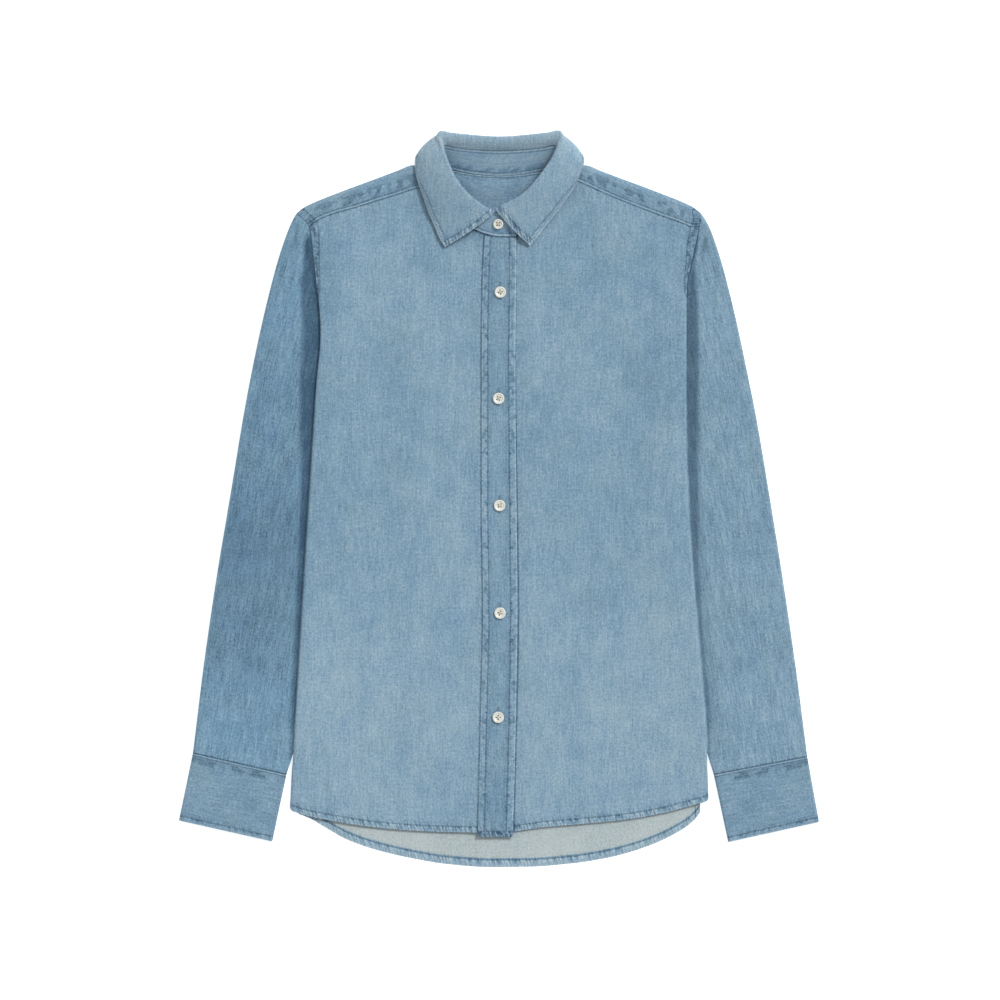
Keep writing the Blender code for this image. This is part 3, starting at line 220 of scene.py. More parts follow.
# Cuffs: corners at the join and at the lower edge, from the outer to the inner fold.
CUFF_JOIN = {
    WEARERS_RIGHT: ((-300.2, -249.0), (-208.4, -270.0)),
    WEARERS_LEFT: ((302.4, -252.4), (210.7, -270.0)),
}
CUFF_FOOT = {
    WEARERS_RIGHT: ((-313.8, -314.6), (-222.2, -335.2)),
    WEARERS_LEFT: ((313.9, -316.0), (224.7, -335.7)),
}
CUFF_TOP = 4.7

BUTTON_THICKNESS = 2.4
BUTTON_DIAMETER = 11.4
COLLAR_BUTTON_DIAMETER = 10.2
BUTTON_HOLE_DIAMETER = 1.5
BUTTON_HOLE_SPACING = 2.6
BUTTONS = table(
    "name x y", ("button_1", 1.3, 203.1), ("button_2", -0.4, 98.9), ("button_3", 0.6, -5.9),
    ("button_4", 1.0, -111.3), ("button_5", -0.8, -213.4), ("button_collar", -0.8, 270.3),
)
FRONT_BUTTONS, COLLAR_BUTTON = BUTTONS[:-1], BUTTONS[-1]


# ---- Numbers and grids ----

def ease(step):
    """0 to 1 with level ends."""
    step = np.clip(step, 0.0, 1.0)
    return step * step * (3.0 - 2.0 * step)


def hill(value, start, rise, end, fall):
    """1 between two places of a value, with a soft rise and fall of these widths after each."""
    return ease((value - start) / rise) * (1.0 - ease((value - end) / fall))


def unit(vectors):
    return vectors / np.linalg.norm(vectors, axis=-1, keepdims=True)


def grid_normals(grid):
    across = np.gradient(grid, axis=1)
    along = np.gradient(grid, axis=0)
    normal = np.cross(along, across)
    return normal / np.linalg.norm(normal, axis=2, keepdims=True)


def surface(x, y, z):
    x, y, z = np.broadcast_arrays(x, y, z)
    return np.stack([x, y, z], axis=-1).astype(float)


def between(start, end, share):
    return start + (end - start) * share


# ---- Curves read from the tables ----

def follow(given, key, column, at):
    """One column of a table at values of another, on a smooth curve that never overshoots."""
    rows = sorted(given, key=lambda row: getattr(row, key))
    keys = np.array([getattr(row, key) for row in rows], float)
    values = np.array([getattr(row, column) for row in rows], float)
    width = np.diff(keys)
    rise = np.diff(values) / width
    slope = np.zeros(len(values))
    slope[0], slope[-1] = rise[0], rise[-1]
    before, after = rise[:-1], rise[1:]
    same = before * after > 0
    slope[1:-1][same] = 2.0 * before[same] * after[same] / (before[same] + after[same])
    at = np.asarray(at, float)
    cell = np.clip(np.searchsorted(keys, at) - 1, 0, len(width) - 1)
    t = np.clip((at - keys[cell]) / width[cell], 0.0, 1.0)
    start = values[cell] + slope[cell] * width[cell] * t
    bend = values[cell + 1] - values[cell] - slope[cell] * width[cell]
    end_bend = width[cell] * (slope[cell + 1] - slope[cell])
    return start + (3.0 * bend - end_bend) * t ** 2 + (end_bend - 2.0 * bend) * t ** 3


def side_column(side):
    return "left" if side == WEARERS_LEFT else "right"


def by_side(rows, side, y):
    """One side's column of a table at heights down the shirt."""
    return follow(rows, "y", side_column(side), y)


def body_edge_x(side, y):
    return by_side(BODY_EDGES, side, y)


def sleeve_edge_x(side, y):
    return by_side(SLEEVE_EDGES, side, y)


def inner_fold_x(side, y):
    return body_edge_x(side, y) - side * follow(INNER_FOLD, "y", "tucked_in", y)


def side_roll(y):
    """The roll of the body's side: its radius, how far it has turned, and the length after it."""
    top = follow(SIDE_HEIGHTS, "y", "top", y)
    under = follow(SIDE_HEIGHTS, "y", "under", y)
    turn = math.pi * ease((ROLL_START_Y - y) / (ROLL_START_Y - ROLL_FULL_Y))
    tail = TURNED_UNDER * ease((ROLL_FULL_Y + 10.0 - y) / 20.0)
    lead = LEVEL_STRIP - (LEVEL_STRIP - LEVEL_LEAD) * turn / math.pi
    return top, (top - under) / 2.0, turn, tail, lead


def side_strip(side, y, share):
    """A point of the strip at the body's side, from where it is still level (0) to its end (1)."""
    top, radius, turn, tail, lead = side_roll(y)
    length = share * (lead + radius * turn + tail)
    roll_x = body_edge_x(side, y) - side * radius * np.sin(np.minimum(turn, math.pi / 2.0))
    angle = np.clip((length - lead) / radius, 0.0, turn)
    after = np.maximum(length - lead - radius * turn, 0.0)
    level = np.minimum(length - lead, 0.0)
    out = level + radius * np.sin(angle) + after * np.cos(turn)
    z = top - radius * (1.0 - np.cos(angle)) - after * np.sin(turn)
    return roll_x + side * out, z


def strip_start_x(side, y):
    return side_strip(side, y, 0.0)[0]


def seam_x(side, y):
    """The armhole seam, and below the underarm the side seam under the body."""
    return side_strip(side, y, 1.0)[0]


def shoulder_fold_y(x):
    """The fold over the shoulder, or a line across the neck."""
    left_x, right_x = (body_edge_x(side, SHOULDER_TIP_Y) for side in (WEARERS_LEFT, WEARERS_RIGHT))
    side_edge = np.where(x > 0, left_x, -right_x)
    along = (np.abs(x) - NECK_POINT_X) / (side_edge - NECK_POINT_X)
    return follow(SHOULDER_FOLD, "along", "y", np.clip(along, 0.0, 1.0))


def under_collar(x, y):
    """1 where the hidden half of the collar lies under the shirt, 0 well away from it."""
    in_y = ease((y - COLLAR_UNDER_Y) / COLLAR_UNDER_SOFT_Y)
    return in_y * ease((COLLAR_UNDER_X - np.abs(x)) / COLLAR_UNDER_SOFT_X)


def back_under(x, y):
    """The underside of the back and of the back of the yoke."""
    lift = UNDER_COLLAR_LIFT * under_collar(x, y)
    below_underarm = ease((UNDERARM_Y + 16.0 - y) / 10.0)
    on_sleeve = below_underarm * ease((y - SLEEVE_CLEAR_Y + 14.0) / 10.0)
    under = follow(SIDE_HEIGHTS, "y", "under", y) * below_underarm
    for side in (WEARERS_RIGHT, WEARERS_LEFT):
        over_sleeve = ease((15.0 - side * (inner_fold_x(side, y) - x)) / 11.0)
        at_seam = ease((16.0 - side * (seam_x(side, y) - x)) / 12.0)
        lift = np.maximum(lift, SIDE_FOLD_UNDER * over_sleeve * on_sleeve)
        lift = np.maximum(lift, under * at_seam)
    return lift


def body_top(x, y):
    """The outer face of the fronts and of the front of the yoke."""
    side_x = np.where(x > 0, strip_start_x(WEARERS_LEFT, y), -strip_start_x(WEARERS_RIGHT, y))
    near_side = ease(1.0 - (side_x - np.abs(x)) / SIDE_REACH)
    near_shoulder = ease(1.0 - (shoulder_fold_y(x) - y) / SHOULDER_REACH)
    near_neck = ease((SHOULDER_LIFT_X - np.abs(x)) / SHOULDER_LIFT_SOFT)
    shoulder_top = SHOULDER_TOP + UNDER_COLLAR_LIFT * near_neck
    side_top = follow(SIDE_HEIGHTS, "y", "top", y)
    top = MIDDLE_TOP + (side_top - MIDDLE_TOP) * near_side
    return top + (shoulder_top - MIDDLE_TOP) * near_shoulder * (1.0 - near_side)


def sleeve_fold_top(y):
    top = SLEEVE_FOLD_TOP + (SHOULDER_TOP - SLEEVE_FOLD_TOP) * ease((y - 250.0) / 30.0)
    return top + (CUFF_TOP - 0.4 - top) * ease((-195.0 - y) / 60.0)


def sleeve_top(side, x, y):
    """The outer face of a sleeve's upper layer."""
    from_fold = side * (sleeve_edge_x(side, y) - x)
    rise = (SLEEVE_RIDGE_TOP - SLEEVE_FOLD_TOP) * ease(from_fold / 45.0)
    ridge = sleeve_fold_top(y) + rise * ease((y + 255.0) / 60.0)
    top, radius, turn, _, _ = side_roll(y)
    seam_top = top - radius * (1.0 - np.cos(turn))
    seam_top = seam_top - (SIDE_FOLD_UNDER - TUCKED_TOP) * np.sin(np.minimum(turn, math.pi / 2.0))
    from_body = side * (x - body_edge_x(side, y))
    beside_body = 1.0 - ease((from_body - 1.0) / 14.0)
    beside_body = beside_body * (1.0 - ease((SLEEVE_CLEAR_Y + 2.0 - y) / 20.0))
    groove_out = GROOVE_OUT + GROOVE_OUT_AT_HEAD * ease((y - 205.0) / 45.0)
    groove = GROOVE_DEPTH * ease((267.0 - y) / 34.0) * ease((y - 186.0) / 26.0)
    across_groove = np.exp(-((from_body - groove_out) / GROOVE_WIDTH) ** 2)
    dip = groove * across_groove * ease(from_body / 3.0)
    return np.maximum(ridge + (seam_top - ridge) * beside_body - dip, TUCKED_TOP)


# ---- Shells of cloth ----

def patch(top, bottom, first, last, across, along):
    """A sheet between four edges, each a plan line: two run across and two run along it."""
    s = across[None, :, None]
    t = along[:, None, None]
    ruled = between(top[None], bottom[None], t) + between(first[:, None], last[:, None], s)
    corners = between(between(top[0], top[-1], s), between(bottom[0], bottom[-1], s), t)
    return ruled - corners


# Places on a seam: 0 at its edge, 1 at its needle line, FAR away from it, and up to BESIDE on the
# cloth that it is sewn to, which is reached at the seam, one less for each BESIDE_STEP.
FAR = 10.0
BESIDE = 16.0
BESIDE_STEP = 2.5
CLOTH_SHARP = 55.0     # degrees between faces from which a rim is shaded sharp


def filled(values, largest):
    """The same values with even steps put between them, none larger than this."""
    values = [float(value) for value in values]
    found = [values[0]]
    for start, end in zip(values, values[1:]):
        count = max(1, math.ceil(abs(end - start) / largest - 1e-6))
        found += [start + (end - start) * (step + 1) / count for step in range(count)]
    return np.array(found)


def smooth_rows(points, counts):
    """More rows between a grid's own, on smooth curves through them."""
    width = np.maximum(np.linalg.norm(np.diff(points, axis=0), axis=2, keepdims=True), 1e-6)
    rise = np.diff(points, axis=0) / width
    slope = np.empty_like(points)
    slope[1:-1] = (width[1:] * rise[:-1] + width[:-1] * rise[1:]) / (width[:-1] + width[1:])
    slope[0] = 1.5 * rise[0] - 0.5 * slope[1]
    slope[-1] = 1.5 * rise[-1] - 0.5 * slope[-2]
    rows = []
    for i, count in enumerate(counts):
        for t in np.arange(count) / count:
            bend = points[i + 1] - points[i]
            start, end = slope[i] * width[i], slope[i + 1] * width[i]
            rows.append(points[i] + start * t + (3 * bend - 2 * start - end) * t ** 2
                        + (start + end - 2 * bend) * t ** 3)
    rows.append(points[-1])
    return np.array(rows)


def spans_for(points, largest):
    """How many steps each span between a grid's rows needs."""
    longest = np.linalg.norm(np.diff(points, axis=0), axis=2).max(axis=1)
    return [max(1, math.ceil(step / largest)) for step in longest]


def smoothed(grid, steps):
    """A grid with more rows and then more columns, none further apart than the two steps."""
    grid = smooth_rows(grid, spans_for(grid, steps[0]))
    across = grid.transpose(1, 0, 2)
    return smooth_rows(across, spans_for(across, steps[1])).transpose(1, 0, 2)


def from_start(grid, axis):
    """The length along a grid's lines from their start."""
    steps = np.linalg.norm(np.diff(grid, axis=axis), axis=2)
    nothing = np.zeros_like(np.take(steps, [0], axis=axis))
    return np.concatenate([nothing, np.cumsum(steps, axis=axis)], axis=axis)


def to_end(grid, axis):
    gone = from_start(grid, axis)
    return np.take(gone, [-1], axis=axis) - gone


def inset_line(lines, distance):
    """The point on each line that is a distance from its start."""
    gone = from_start(lines, 1)
    return np.array([[np.interp(distance, g, line[:, k]) for k in range(3)]
                     for g, line in zip(gone, lines)])


def lines_from(grid, edge):
    """A grid's lines, as they leave its first or last column, or its top or foot row."""
    lines = grid if edge in ("first", "last") else grid.transpose(1, 0, 2)
    return lines[:, ::-1] if edge in ("last", "foot") else lines


def inset_from(grid, edge, distance):
    return inset_line(lines_from(grid, edge), distance)


def creased(x, y, ridges):
    """The height of soft ridges and troughs at plan points."""
    height = np.zeros(np.broadcast(x, y).shape)
    for crease in ridges:
        run_x, run_y = crease.to_x - crease.x, crease.to_y - crease.y
        length = math.hypot(run_x, run_y)
        along = ((x - crease.x) * run_x + (y - crease.y) * run_y) / length ** 2
        aside = ((x - crease.x) * run_y - (y - crease.y) * run_x) / length
        on_it = np.clip(along, 0.0, 1.0)
        aside = aside - crease.bow * 4.0 * on_it * (1.0 - on_it)
        ends = ease((along + 0.12) / 0.42) * ease((1.12 - along) / 0.42)
        height += crease.height * ends * np.exp(-(aside / crease.width) ** 2)
    return height


def seam_map(shape, run=None, cross=None, blotch=None, deep=None):
    """Four numbers a point: places on its two kinds of seams, blotches, painted shade and tone."""
    found = np.zeros(shape + (4,))
    found[..., 0] = FAR if run is None else run
    found[..., 1] = FAR if cross is None else cross
    found[..., 2] = 0.0 if blotch is None else blotch
    found[..., 3] = 0.0 if deep is None else deep
    return found


def seam_place(own, beside=None):
    """A place on a piece's own seam, in bands, or the millimetres aside from its neighbour's."""
    place = np.minimum(own, FAR)
    return place if beside is None else np.maximum(place, BESIDE - beside / BESIDE_STEP)


def put_in_scene(name, data):
    """A new object of a mesh, a lamp or a camera."""
    thing = bpy.data.objects.new(name, data)
    bpy.context.scene.collection.objects.link(thing)
    return thing


def as_shown(holder):
    """A plain mesh of what an object's modifiers make; the object itself is taken away."""
    mesh = bpy.data.meshes.new_from_object(
        holder.evaluated_get(bpy.context.evaluated_depsgraph_get()))
    bpy.data.objects.remove(holder)
    return mesh


def finished_mesh(name, work):
    """A plain mesh of what was put together in a bmesh."""
    mesh = bpy.data.meshes.new(name)
    work.to_mesh(mesh)
    work.free()
    return mesh


def cloth_shell(name, outer, inner, place, seams, materials, is_ring=False, missing=None,
                turned=None):
    """The closed shell between two grids. Place is the cloth's own plan, in millimetres; a ring's
    has one column more than its points. Missing spans are left open, and turned ones show the
    outside of the cloth on the inner wall."""
    rows, columns = outer.shape[:2]
    across_count = columns if is_ring else columns - 1
    i, j = np.meshgrid(np.arange(rows - 1), np.arange(across_count), indexing="ij")
    if missing is not None:
        i, j = i[~missing], j[~missing]
    i, j = i.ravel(), j.ravel()
    after = (j + 1) % columns
    here, below = i * columns, (i + 1) * columns
    quads = np.stack([here + j, here + after, below + after, below + j], axis=1)
    spots = np.stack([place[i, j], place[i, j + 1], place[i + 1, j + 1], place[i + 1, j]], axis=1)
    half = rows * columns
    one, other = quads.ravel(), np.roll(quads, -1, axis=1).ravel()
    spot_one, spot_other = spots.reshape(-1, 2), np.roll(spots, -1, axis=1).reshape(-1, 2)
    open_edge = ~np.isin(one.astype(np.int64) * half + other, other.astype(np.int64) * half + one)
    one, other = one[open_edge], other[open_edge]
    spot_one, spot_other = spot_one[open_edge], spot_other[open_edge]
    rims = np.stack([other, one, half + one, half + other], axis=1)
    rim_spots = np.stack([spot_other, spot_one, spot_one, spot_other], axis=1)
    faces = np.concatenate([quads, half + quads[:, ::-1], rims])
    corners = np.concatenate([spots, spots[:, ::-1], rim_spots])
    inside = np.ones(len(quads), int) if turned is None else (~turned[i, j]).astype(int)
    kinds = np.concatenate([np.zeros(len(quads), int), inside, np.zeros(len(rims), int)])
    points = np.concatenate([outer.reshape(-1, 3), inner.reshape(-1, 3)]) * MM
    points[:, 2] = np.maximum(points[:, 2], 0.0)
    a, b, c, d = (points[faces[:, k]] for k in range(4))
    volume = np.einsum("ij,ij->", a, np.cross(b, c)) + np.einsum("ij,ij->", a, np.cross(c, d))
    if volume < 0.0:
        faces, corners = faces[:, ::-1], corners[:, ::-1]
    used, faces = np.unique(faces, return_inverse=True)
    faces = faces.reshape(-1, 4)
    mesh = bpy.data.meshes.new(name)
    mesh.from_pydata(points[used].tolist(), [], faces.tolist())
    layer = mesh.uv_layers.new(name="cloth")
    layer.data.foreach_set("uv", (corners.reshape(-1, 2) * MM).astype(np.float32).ravel())
    kept = mesh.attributes.new("seams", "FLOAT_COLOR", "POINT")
    both = np.tile(seams.reshape(-1, 4), (2, 1))[used]
    kept.data.foreach_set("color", both.astype(np.float32).ravel())
    mesh.polygons.foreach_set("material_index", kinds.astype(np.int32))
    mesh.shade_smooth()
    mesh.set_sharp_from_angle(angle=math.radians(CLOTH_SHARP))
    for material in materials:
        mesh.materials.append(material)
    mesh.update()
    return put_in_scene(name, mesh)


def laid_shell(name, grid, wall, outward, place, seams, materials, turned=None):
    """A shell inside a grid of points on its outer face."""
    inner = grid - grid_normals(grid) * outward * wall
    return cloth_shell(name, grid, inner, place, seams, materials, turned=turned)


def wear(piece, node):
    """Put a finished piece on its body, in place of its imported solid."""
    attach(piece, "root")
    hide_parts(node)


# ---- Fronts and placket ----

NECK_FINE = filled((0.0, 1.0), 0.045)[:-1]
YOKE_SEAM_FINE = filled(YOKE_SEAM_PLACES, 0.026)
STRIP_FINE = np.concatenate([filled((0.0, 0.25), 0.09)[1:], filled((0.25, 1.0), 0.055)[1:]])
FRONT_SIDE_YS = ARMHOLE_YS[1:] + (40, 0, -55, -115, -175, -220, -244, -256, -267, -280)
UNDERLAP_COLUMNS = 7
ARMHOLE_BAND = 7.5
ARMHOLE_NEEDLE_Y = 205.0   # where the armhole's stitches run out of sight
YOKE_BAND = 2.1
# How wide the armhole's band shows on the fronts: its needle line runs on as the body's edge.
BAND_WIDTHS = table(
    "y right left",
    (275, 8.5, 8.5), (262, 7.6, 8.3), (250, 6.4, 8.0), (238, 5.2, 6.4), (226, 4.2, 4.6),
    (214, 3.2, 3.2), (190, 2.0, 2.0),
)

# Soft ridges and troughs of the fronts.
FRONT_CREASES = creases(
    (-168, 92, -108, 196, 11, 0.75, 7), (-172, 70, -96, 150, 13, -0.55, 5),
    (-160, 20, -118, 96, 12, 0.5, -4), (-66, 212, -84, -60, 24, 0.5, 10),
    (-128, 60, -142, -262, 20, 0.6, -8), (-98, -30, -104, -300, 15, -0.5, 6),
    (-44, -70, -50, -312, 17, 0.45, -5), (-166, -90, -172, -290, 12, -0.45, 3),
    (-40, 232, -58, 150, 12, -0.45, 5), (-92, 250, -100, 130, 15, 0.4, -6),
    (-140, 262, -150, 190, 9, 0.4, 3), (-60, 246, -90, 268, 8, 0.35, 2),
    (172, 96, 112, 204, 11, 0.7, -6), (176, 60, 104, 140, 12, -0.5, -5),
    (66, 200, 78, -40, 26, 0.5, -9), (130, 40, 146, -250, 22, 0.6, 8),
    (96, -60, 108, -296, 16, -0.5, -6), (48, -100, 52, -306, 18, 0.45, 6),
    (172, -60, 180, -270, 12, -0.4, -4), (38, 236, 50, 120, 12, -0.4, -5),
    (104, 262, 108, 150, 14, 0.45, 6), (150, 256, 156, 180, 8, 0.35, -3),
    (54, 262, 84, 282, 8, 0.35, 2),
)


def placket_edge_x(side, y):
    return by_side(PLACKET_EDGES, side, y)


def yoke_seam_point(side, place):
    """A plan point of the front yoke seam, from the neck (0) to the side strip (1)."""
    side_y = ARMHOLE_YS[1]
    start_x = abs(strip_start_x(side, side_y))
    reach = abs(body_edge_x(side, side_y))
    x = YOKE_SEAM_NECK_X + place * (start_x - YOKE_SEAM_NECK_X)
    along = (x - YOKE_SEAM_NECK_X) / (reach - YOKE_SEAM_NECK_X)
    return np.stack([side * x, follow(YOKE_SEAM, "along", side_column(side), along)], axis=-1)


def front_top_line(side, first_x):
    """The front neckline and then the yoke seam, from the placket to the side strip."""
    neck_x = side * follow(NECKLINE, "along", "x", NECK_FINE)
    neck_y = follow(NECKLINE, "along", side_column(side), NECK_FINE)
    neck = np.stack([neck_x, neck_y], axis=-1)
    line = np.concatenate([neck, yoke_seam_point(side, YOKE_SEAM_FINE)])
    line[:, 1] -= SEAM_GAP / 2.0
    line[0, 0] = first_x(line[0, 1])
    return line


def front_plan(side, first_x):
    """Plan points of a front, without its side strip."""
    top = front_top_line(side, first_x)
    across = np.abs(top[:, 0] - top[0, 0]) / abs(top[-1, 0] - top[0, 0])
    hem_y = follow(FRONT_HEM, "along", side_column(side), across)
    side_ys = filled(FRONT_SIDE_YS + (hem_y[-1] + HEM_WIDTH, hem_y[-1]), FRONT_STEP)
    side_ys[0] -= SEAM_GAP / 2.0
    last = np.stack([strip_start_x(side, side_ys), side_ys], axis=-1)
    last[0] = top[-1]
    along = (last[0, 1] - last[:, 1]) / (last[0, 1] - last[-1, 1])
    marks = (hem_y[-1], hem_y[-1] + HEM_WIDTH, last[0, 1])
    first_ys = np.interp(last[:, 1], marks, (hem_y[0], hem_y[0] + HEM_WIDTH, top[0, 1]))
    first = np.stack([first_x(first_ys), first_ys], axis=-1)
    hem_x = between(first[-1, 0], last[-1, 0], across)
    bottom = np.stack([hem_x, hem_y], axis=-1)
    return patch(top, bottom, first, last, across, along), side_ys


def front_grid(side, plan, side_ys, height):
    """Add the heights, the creases, and the strip that rolls over at the side."""
    x, y = plan[..., 0], plan[..., 1]
    clear = ease((np.abs(x[:, -1:]) - np.abs(x)) / 14.0) * ease((np.abs(x) - 19.0) / 9.0)
    middle = surface(x, y, height(x, y) + creased(x, y, FRONT_CREASES) * clear)
    shares = STRIP_FINE[None, :]
    rows = side_ys[:, None]
    strip_x, strip_z = side_strip(side, rows, shares)
    turn = side_roll(rows)[2]
    strip_x = strip_x - side * SEAM_GAP / 2.0 * np.cos(turn) * shares
    strip = surface(strip_x, rows, strip_z)
    strip[0, :, 1] = between(plan[0, -1, 1], side_ys[0], shares[0])
    return np.concatenate([middle, strip], axis=1)


def front_maps(side, grid, middle_columns, neck_columns, first_column):
    """The plan of a front's cloth, and its seams."""
    place = grid[..., :2].copy()
    beyond = from_start(grid[:, middle_columns - 1:], 1)
    place[:, middle_columns - 1:, 0] = grid[:, middle_columns - 1:middle_columns, 0] + side * beyond
    from_side = to_end(grid, 1)
    from_placket = from_start(grid, 1)
    if side == WEARERS_LEFT:
        from_placket = np.abs(from_placket - from_placket[:, first_column:first_column + 1])
    band = by_side(BAND_WIDTHS, side, grid[..., 1])
    run = seam_place(from_side / band, from_placket)
    from_top, from_hem = from_start(grid, 0), to_end(grid, 0)
    cross = seam_place(from_hem / FRONT_HEM_WIDTH, from_top)
    # Painted shade on the front just below the collar leaf, along the neckline.
    under_leaf_painted_shade = ease(1.0 - from_top / 14.0) * (np.arange(grid.shape[1]) < neck_columns)[None, :]
    # Lighter towards the hem; on the wearer's right front, also painted shade near the side, away
    # from the key light.
    lighter_low_darker_side = 0.12 * ease((-40.0 - grid[..., 1]) / 160.0)
    if side == WEARERS_RIGHT:
        lighter_low_darker_side -= 0.1 * ease(1.0 - from_side / 60.0) * ease((grid[..., 1] + 150.0) / 80.0)
    return place, seam_map(grid.shape[:2], run, cross, deep=0.3 * under_leaf_painted_shade - lighter_low_darker_side)


def front_sewing(side, grid):
    """Needle lines of a front: the armhole's and the hem's."""
    upper = grid[:, -1, 1] > ARMHOLE_NEEDLE_Y
    widths = by_side(BAND_WIDTHS, side, grid[upper, -1, 1])
    from_side = zip(lines_from(grid, "last")[upper], widths)
    armhole = np.array([inset_line(line[None], width)[0] for line, width in from_side])
    return [armhole, inset_from(grid, "foot", FRONT_HEM_WIDTH)]


def make_front(side, name, finish, sizes):
    if side == WEARERS_RIGHT:
        starts_out, rises_from, at_placket = SEAM_GAP, 0.0, PLACKET_TOP - 0.4
    else:
        starts_out, rises_from, at_placket = 0.5, 1.0, UNDERLAP_TOP

    def first_x(y):
        return placket_edge_x(side, y) + side * starts_out

    def height(x, y):
        from_placket = side * (x - placket_edge_x(side, y)) - rises_from
        share = ease(1.0 - from_placket / PLACKET_REACH)
        return body_top(x, y) + (at_placket - MIDDLE_TOP) * share

    plan, side_ys = front_plan(side, first_x)
    neck_columns = len(NECK_FINE)
    if side == WEARERS_LEFT:
        ys = plan[:, 0, 1]
        steps = [np.stack([between(UNDERLAP_EDGE_X, plan[:, 0, 0], share), ys], axis=-1)
                 for share in np.linspace(0.0, 1.0, UNDERLAP_COLUMNS, endpoint=False)]
        plan = np.concatenate([np.stack(steps, axis=1), plan], axis=1)
        neck_columns += UNDERLAP_COLUMNS
    grid = front_grid(side, plan, side_ys, height)
    beside_edge = np.clip(side * (body_edge_x(side, grid[..., 1]) - grid[..., 0]), 0.0, HEM_CORNER)
    lift = HEM_CORNER - np.sqrt(HEM_CORNER ** 2 - (HEM_CORNER - beside_edge) ** 2)
    grid[..., 1] += lift * ease(1.0 - to_end(grid, 0) / (3.0 * HEM_CORNER))
    under_placket = neck_columns - len(NECK_FINE)
    place, seams = front_maps(side, grid, plan.shape[1], neck_columns, under_placket)
    turned = (to_end(grid, 0) < HEM_WIDTH + 1.0)[1:, 1:]
    piece = laid_shell(name, grid, sizes.cloth, side, place, seams, finish, turned)
    return piece, front_sewing(side, grid)


PLACKET_FIRST_BAND, PLACKET_LAST_BAND, PLACKET_FOOT_BAND = 6.0, 7.0, 5.5
PLACKET_HEAD = table("at rise", (0, 2.0), (0.5, 0.3), (1, 0.0))
PLACKET_CREASES = creases(
    (-8, 246, 9, 240, 2.6, 0.45, 1), (-6, 238, 10, 229, 2.4, -0.35, 1),
    (0, 180, 1, 120, 8, 0.2, 1), (-1, 60, 1, 10, 8, 0.22, -1), (1, -40, -1, -96, 8, 0.2, 1),
    (0, -140, 0, -200, 8, 0.22, 1),
)


def make_placket(finish):
    ys = filled((PLACKET_HEAD_Y - 0.6, PLACKET_FOOT_Y), PLACKET_STEP)[:, None]
    first, last = [0.0, 0.012, 0.035, 0.07], [0.93, 0.965, 0.988, 1.0]
    share = np.concatenate([first, np.linspace(0.12, 0.88, 18), last])[None, :]
    x = between(placket_edge_x(WEARERS_RIGHT, ys), placket_edge_x(WEARERS_LEFT, ys), share)
    ys = np.broadcast_to(ys, x.shape).copy()
    ys[0] += follow(PLACKET_HEAD, "at", "rise", share[0])
    from_edge = np.minimum(x - x[:, :1], x[:, -1:] - x)
    z = PLACKET_TOP - 0.55 * (1.0 - ease((from_edge + 0.35) / 1.3))
    z = z + 0.16 * np.exp(-((from_edge - 2.6) / 1.7) ** 2) + creased(x, ys, PLACKET_CREASES)
    grid = surface(x, ys, z)
    run = seam_place(np.minimum(from_start(grid, 1) / PLACKET_FIRST_BAND,
                                to_end(grid, 1) / PLACKET_LAST_BAND))
    cross = seam_place(to_end(grid, 0) / PLACKET_FOOT_BAND, from_start(grid, 0))
    seams = seam_map(grid.shape[:2], run, cross)
    inner = surface(x, ys, PLACKET_TOP - 1.7)
    piece = cloth_shell("placket_cloth", grid, inner, grid[..., :2], seams, finish)
    bands = {"first": PLACKET_FIRST_BAND, "last": PLACKET_LAST_BAND, "foot": PLACKET_FOOT_BAND}
    return piece, [inset_from(grid, edge, band) for edge, band in bands.items()]


# ---- Back and yoke ----

BACK_YS = ARMHOLE_YS[5:] + (57, 45, 30, 8, -30, -75, -120, -165, -205, -236, -256, -276, -290)
BACK_CREASES = creases(
    (-70, 200, -84, -120, 16, 0.7, 8), (-30, 214, -34, -300, 12, 0.6, -6),
    (26, 210, 34, -280, 13, 0.6, 6), (78, 196, 92, -140, 16, 0.7, -8),
    (-150, 80, -100, 190, 10, 0.6, 5), (156, 70, 104, 180, 10, 0.6, -5),
    (-130, -60, -128, -300, 14, 0.6, 5), (126, -40, 132, -290, 14, 0.6, -5),
)


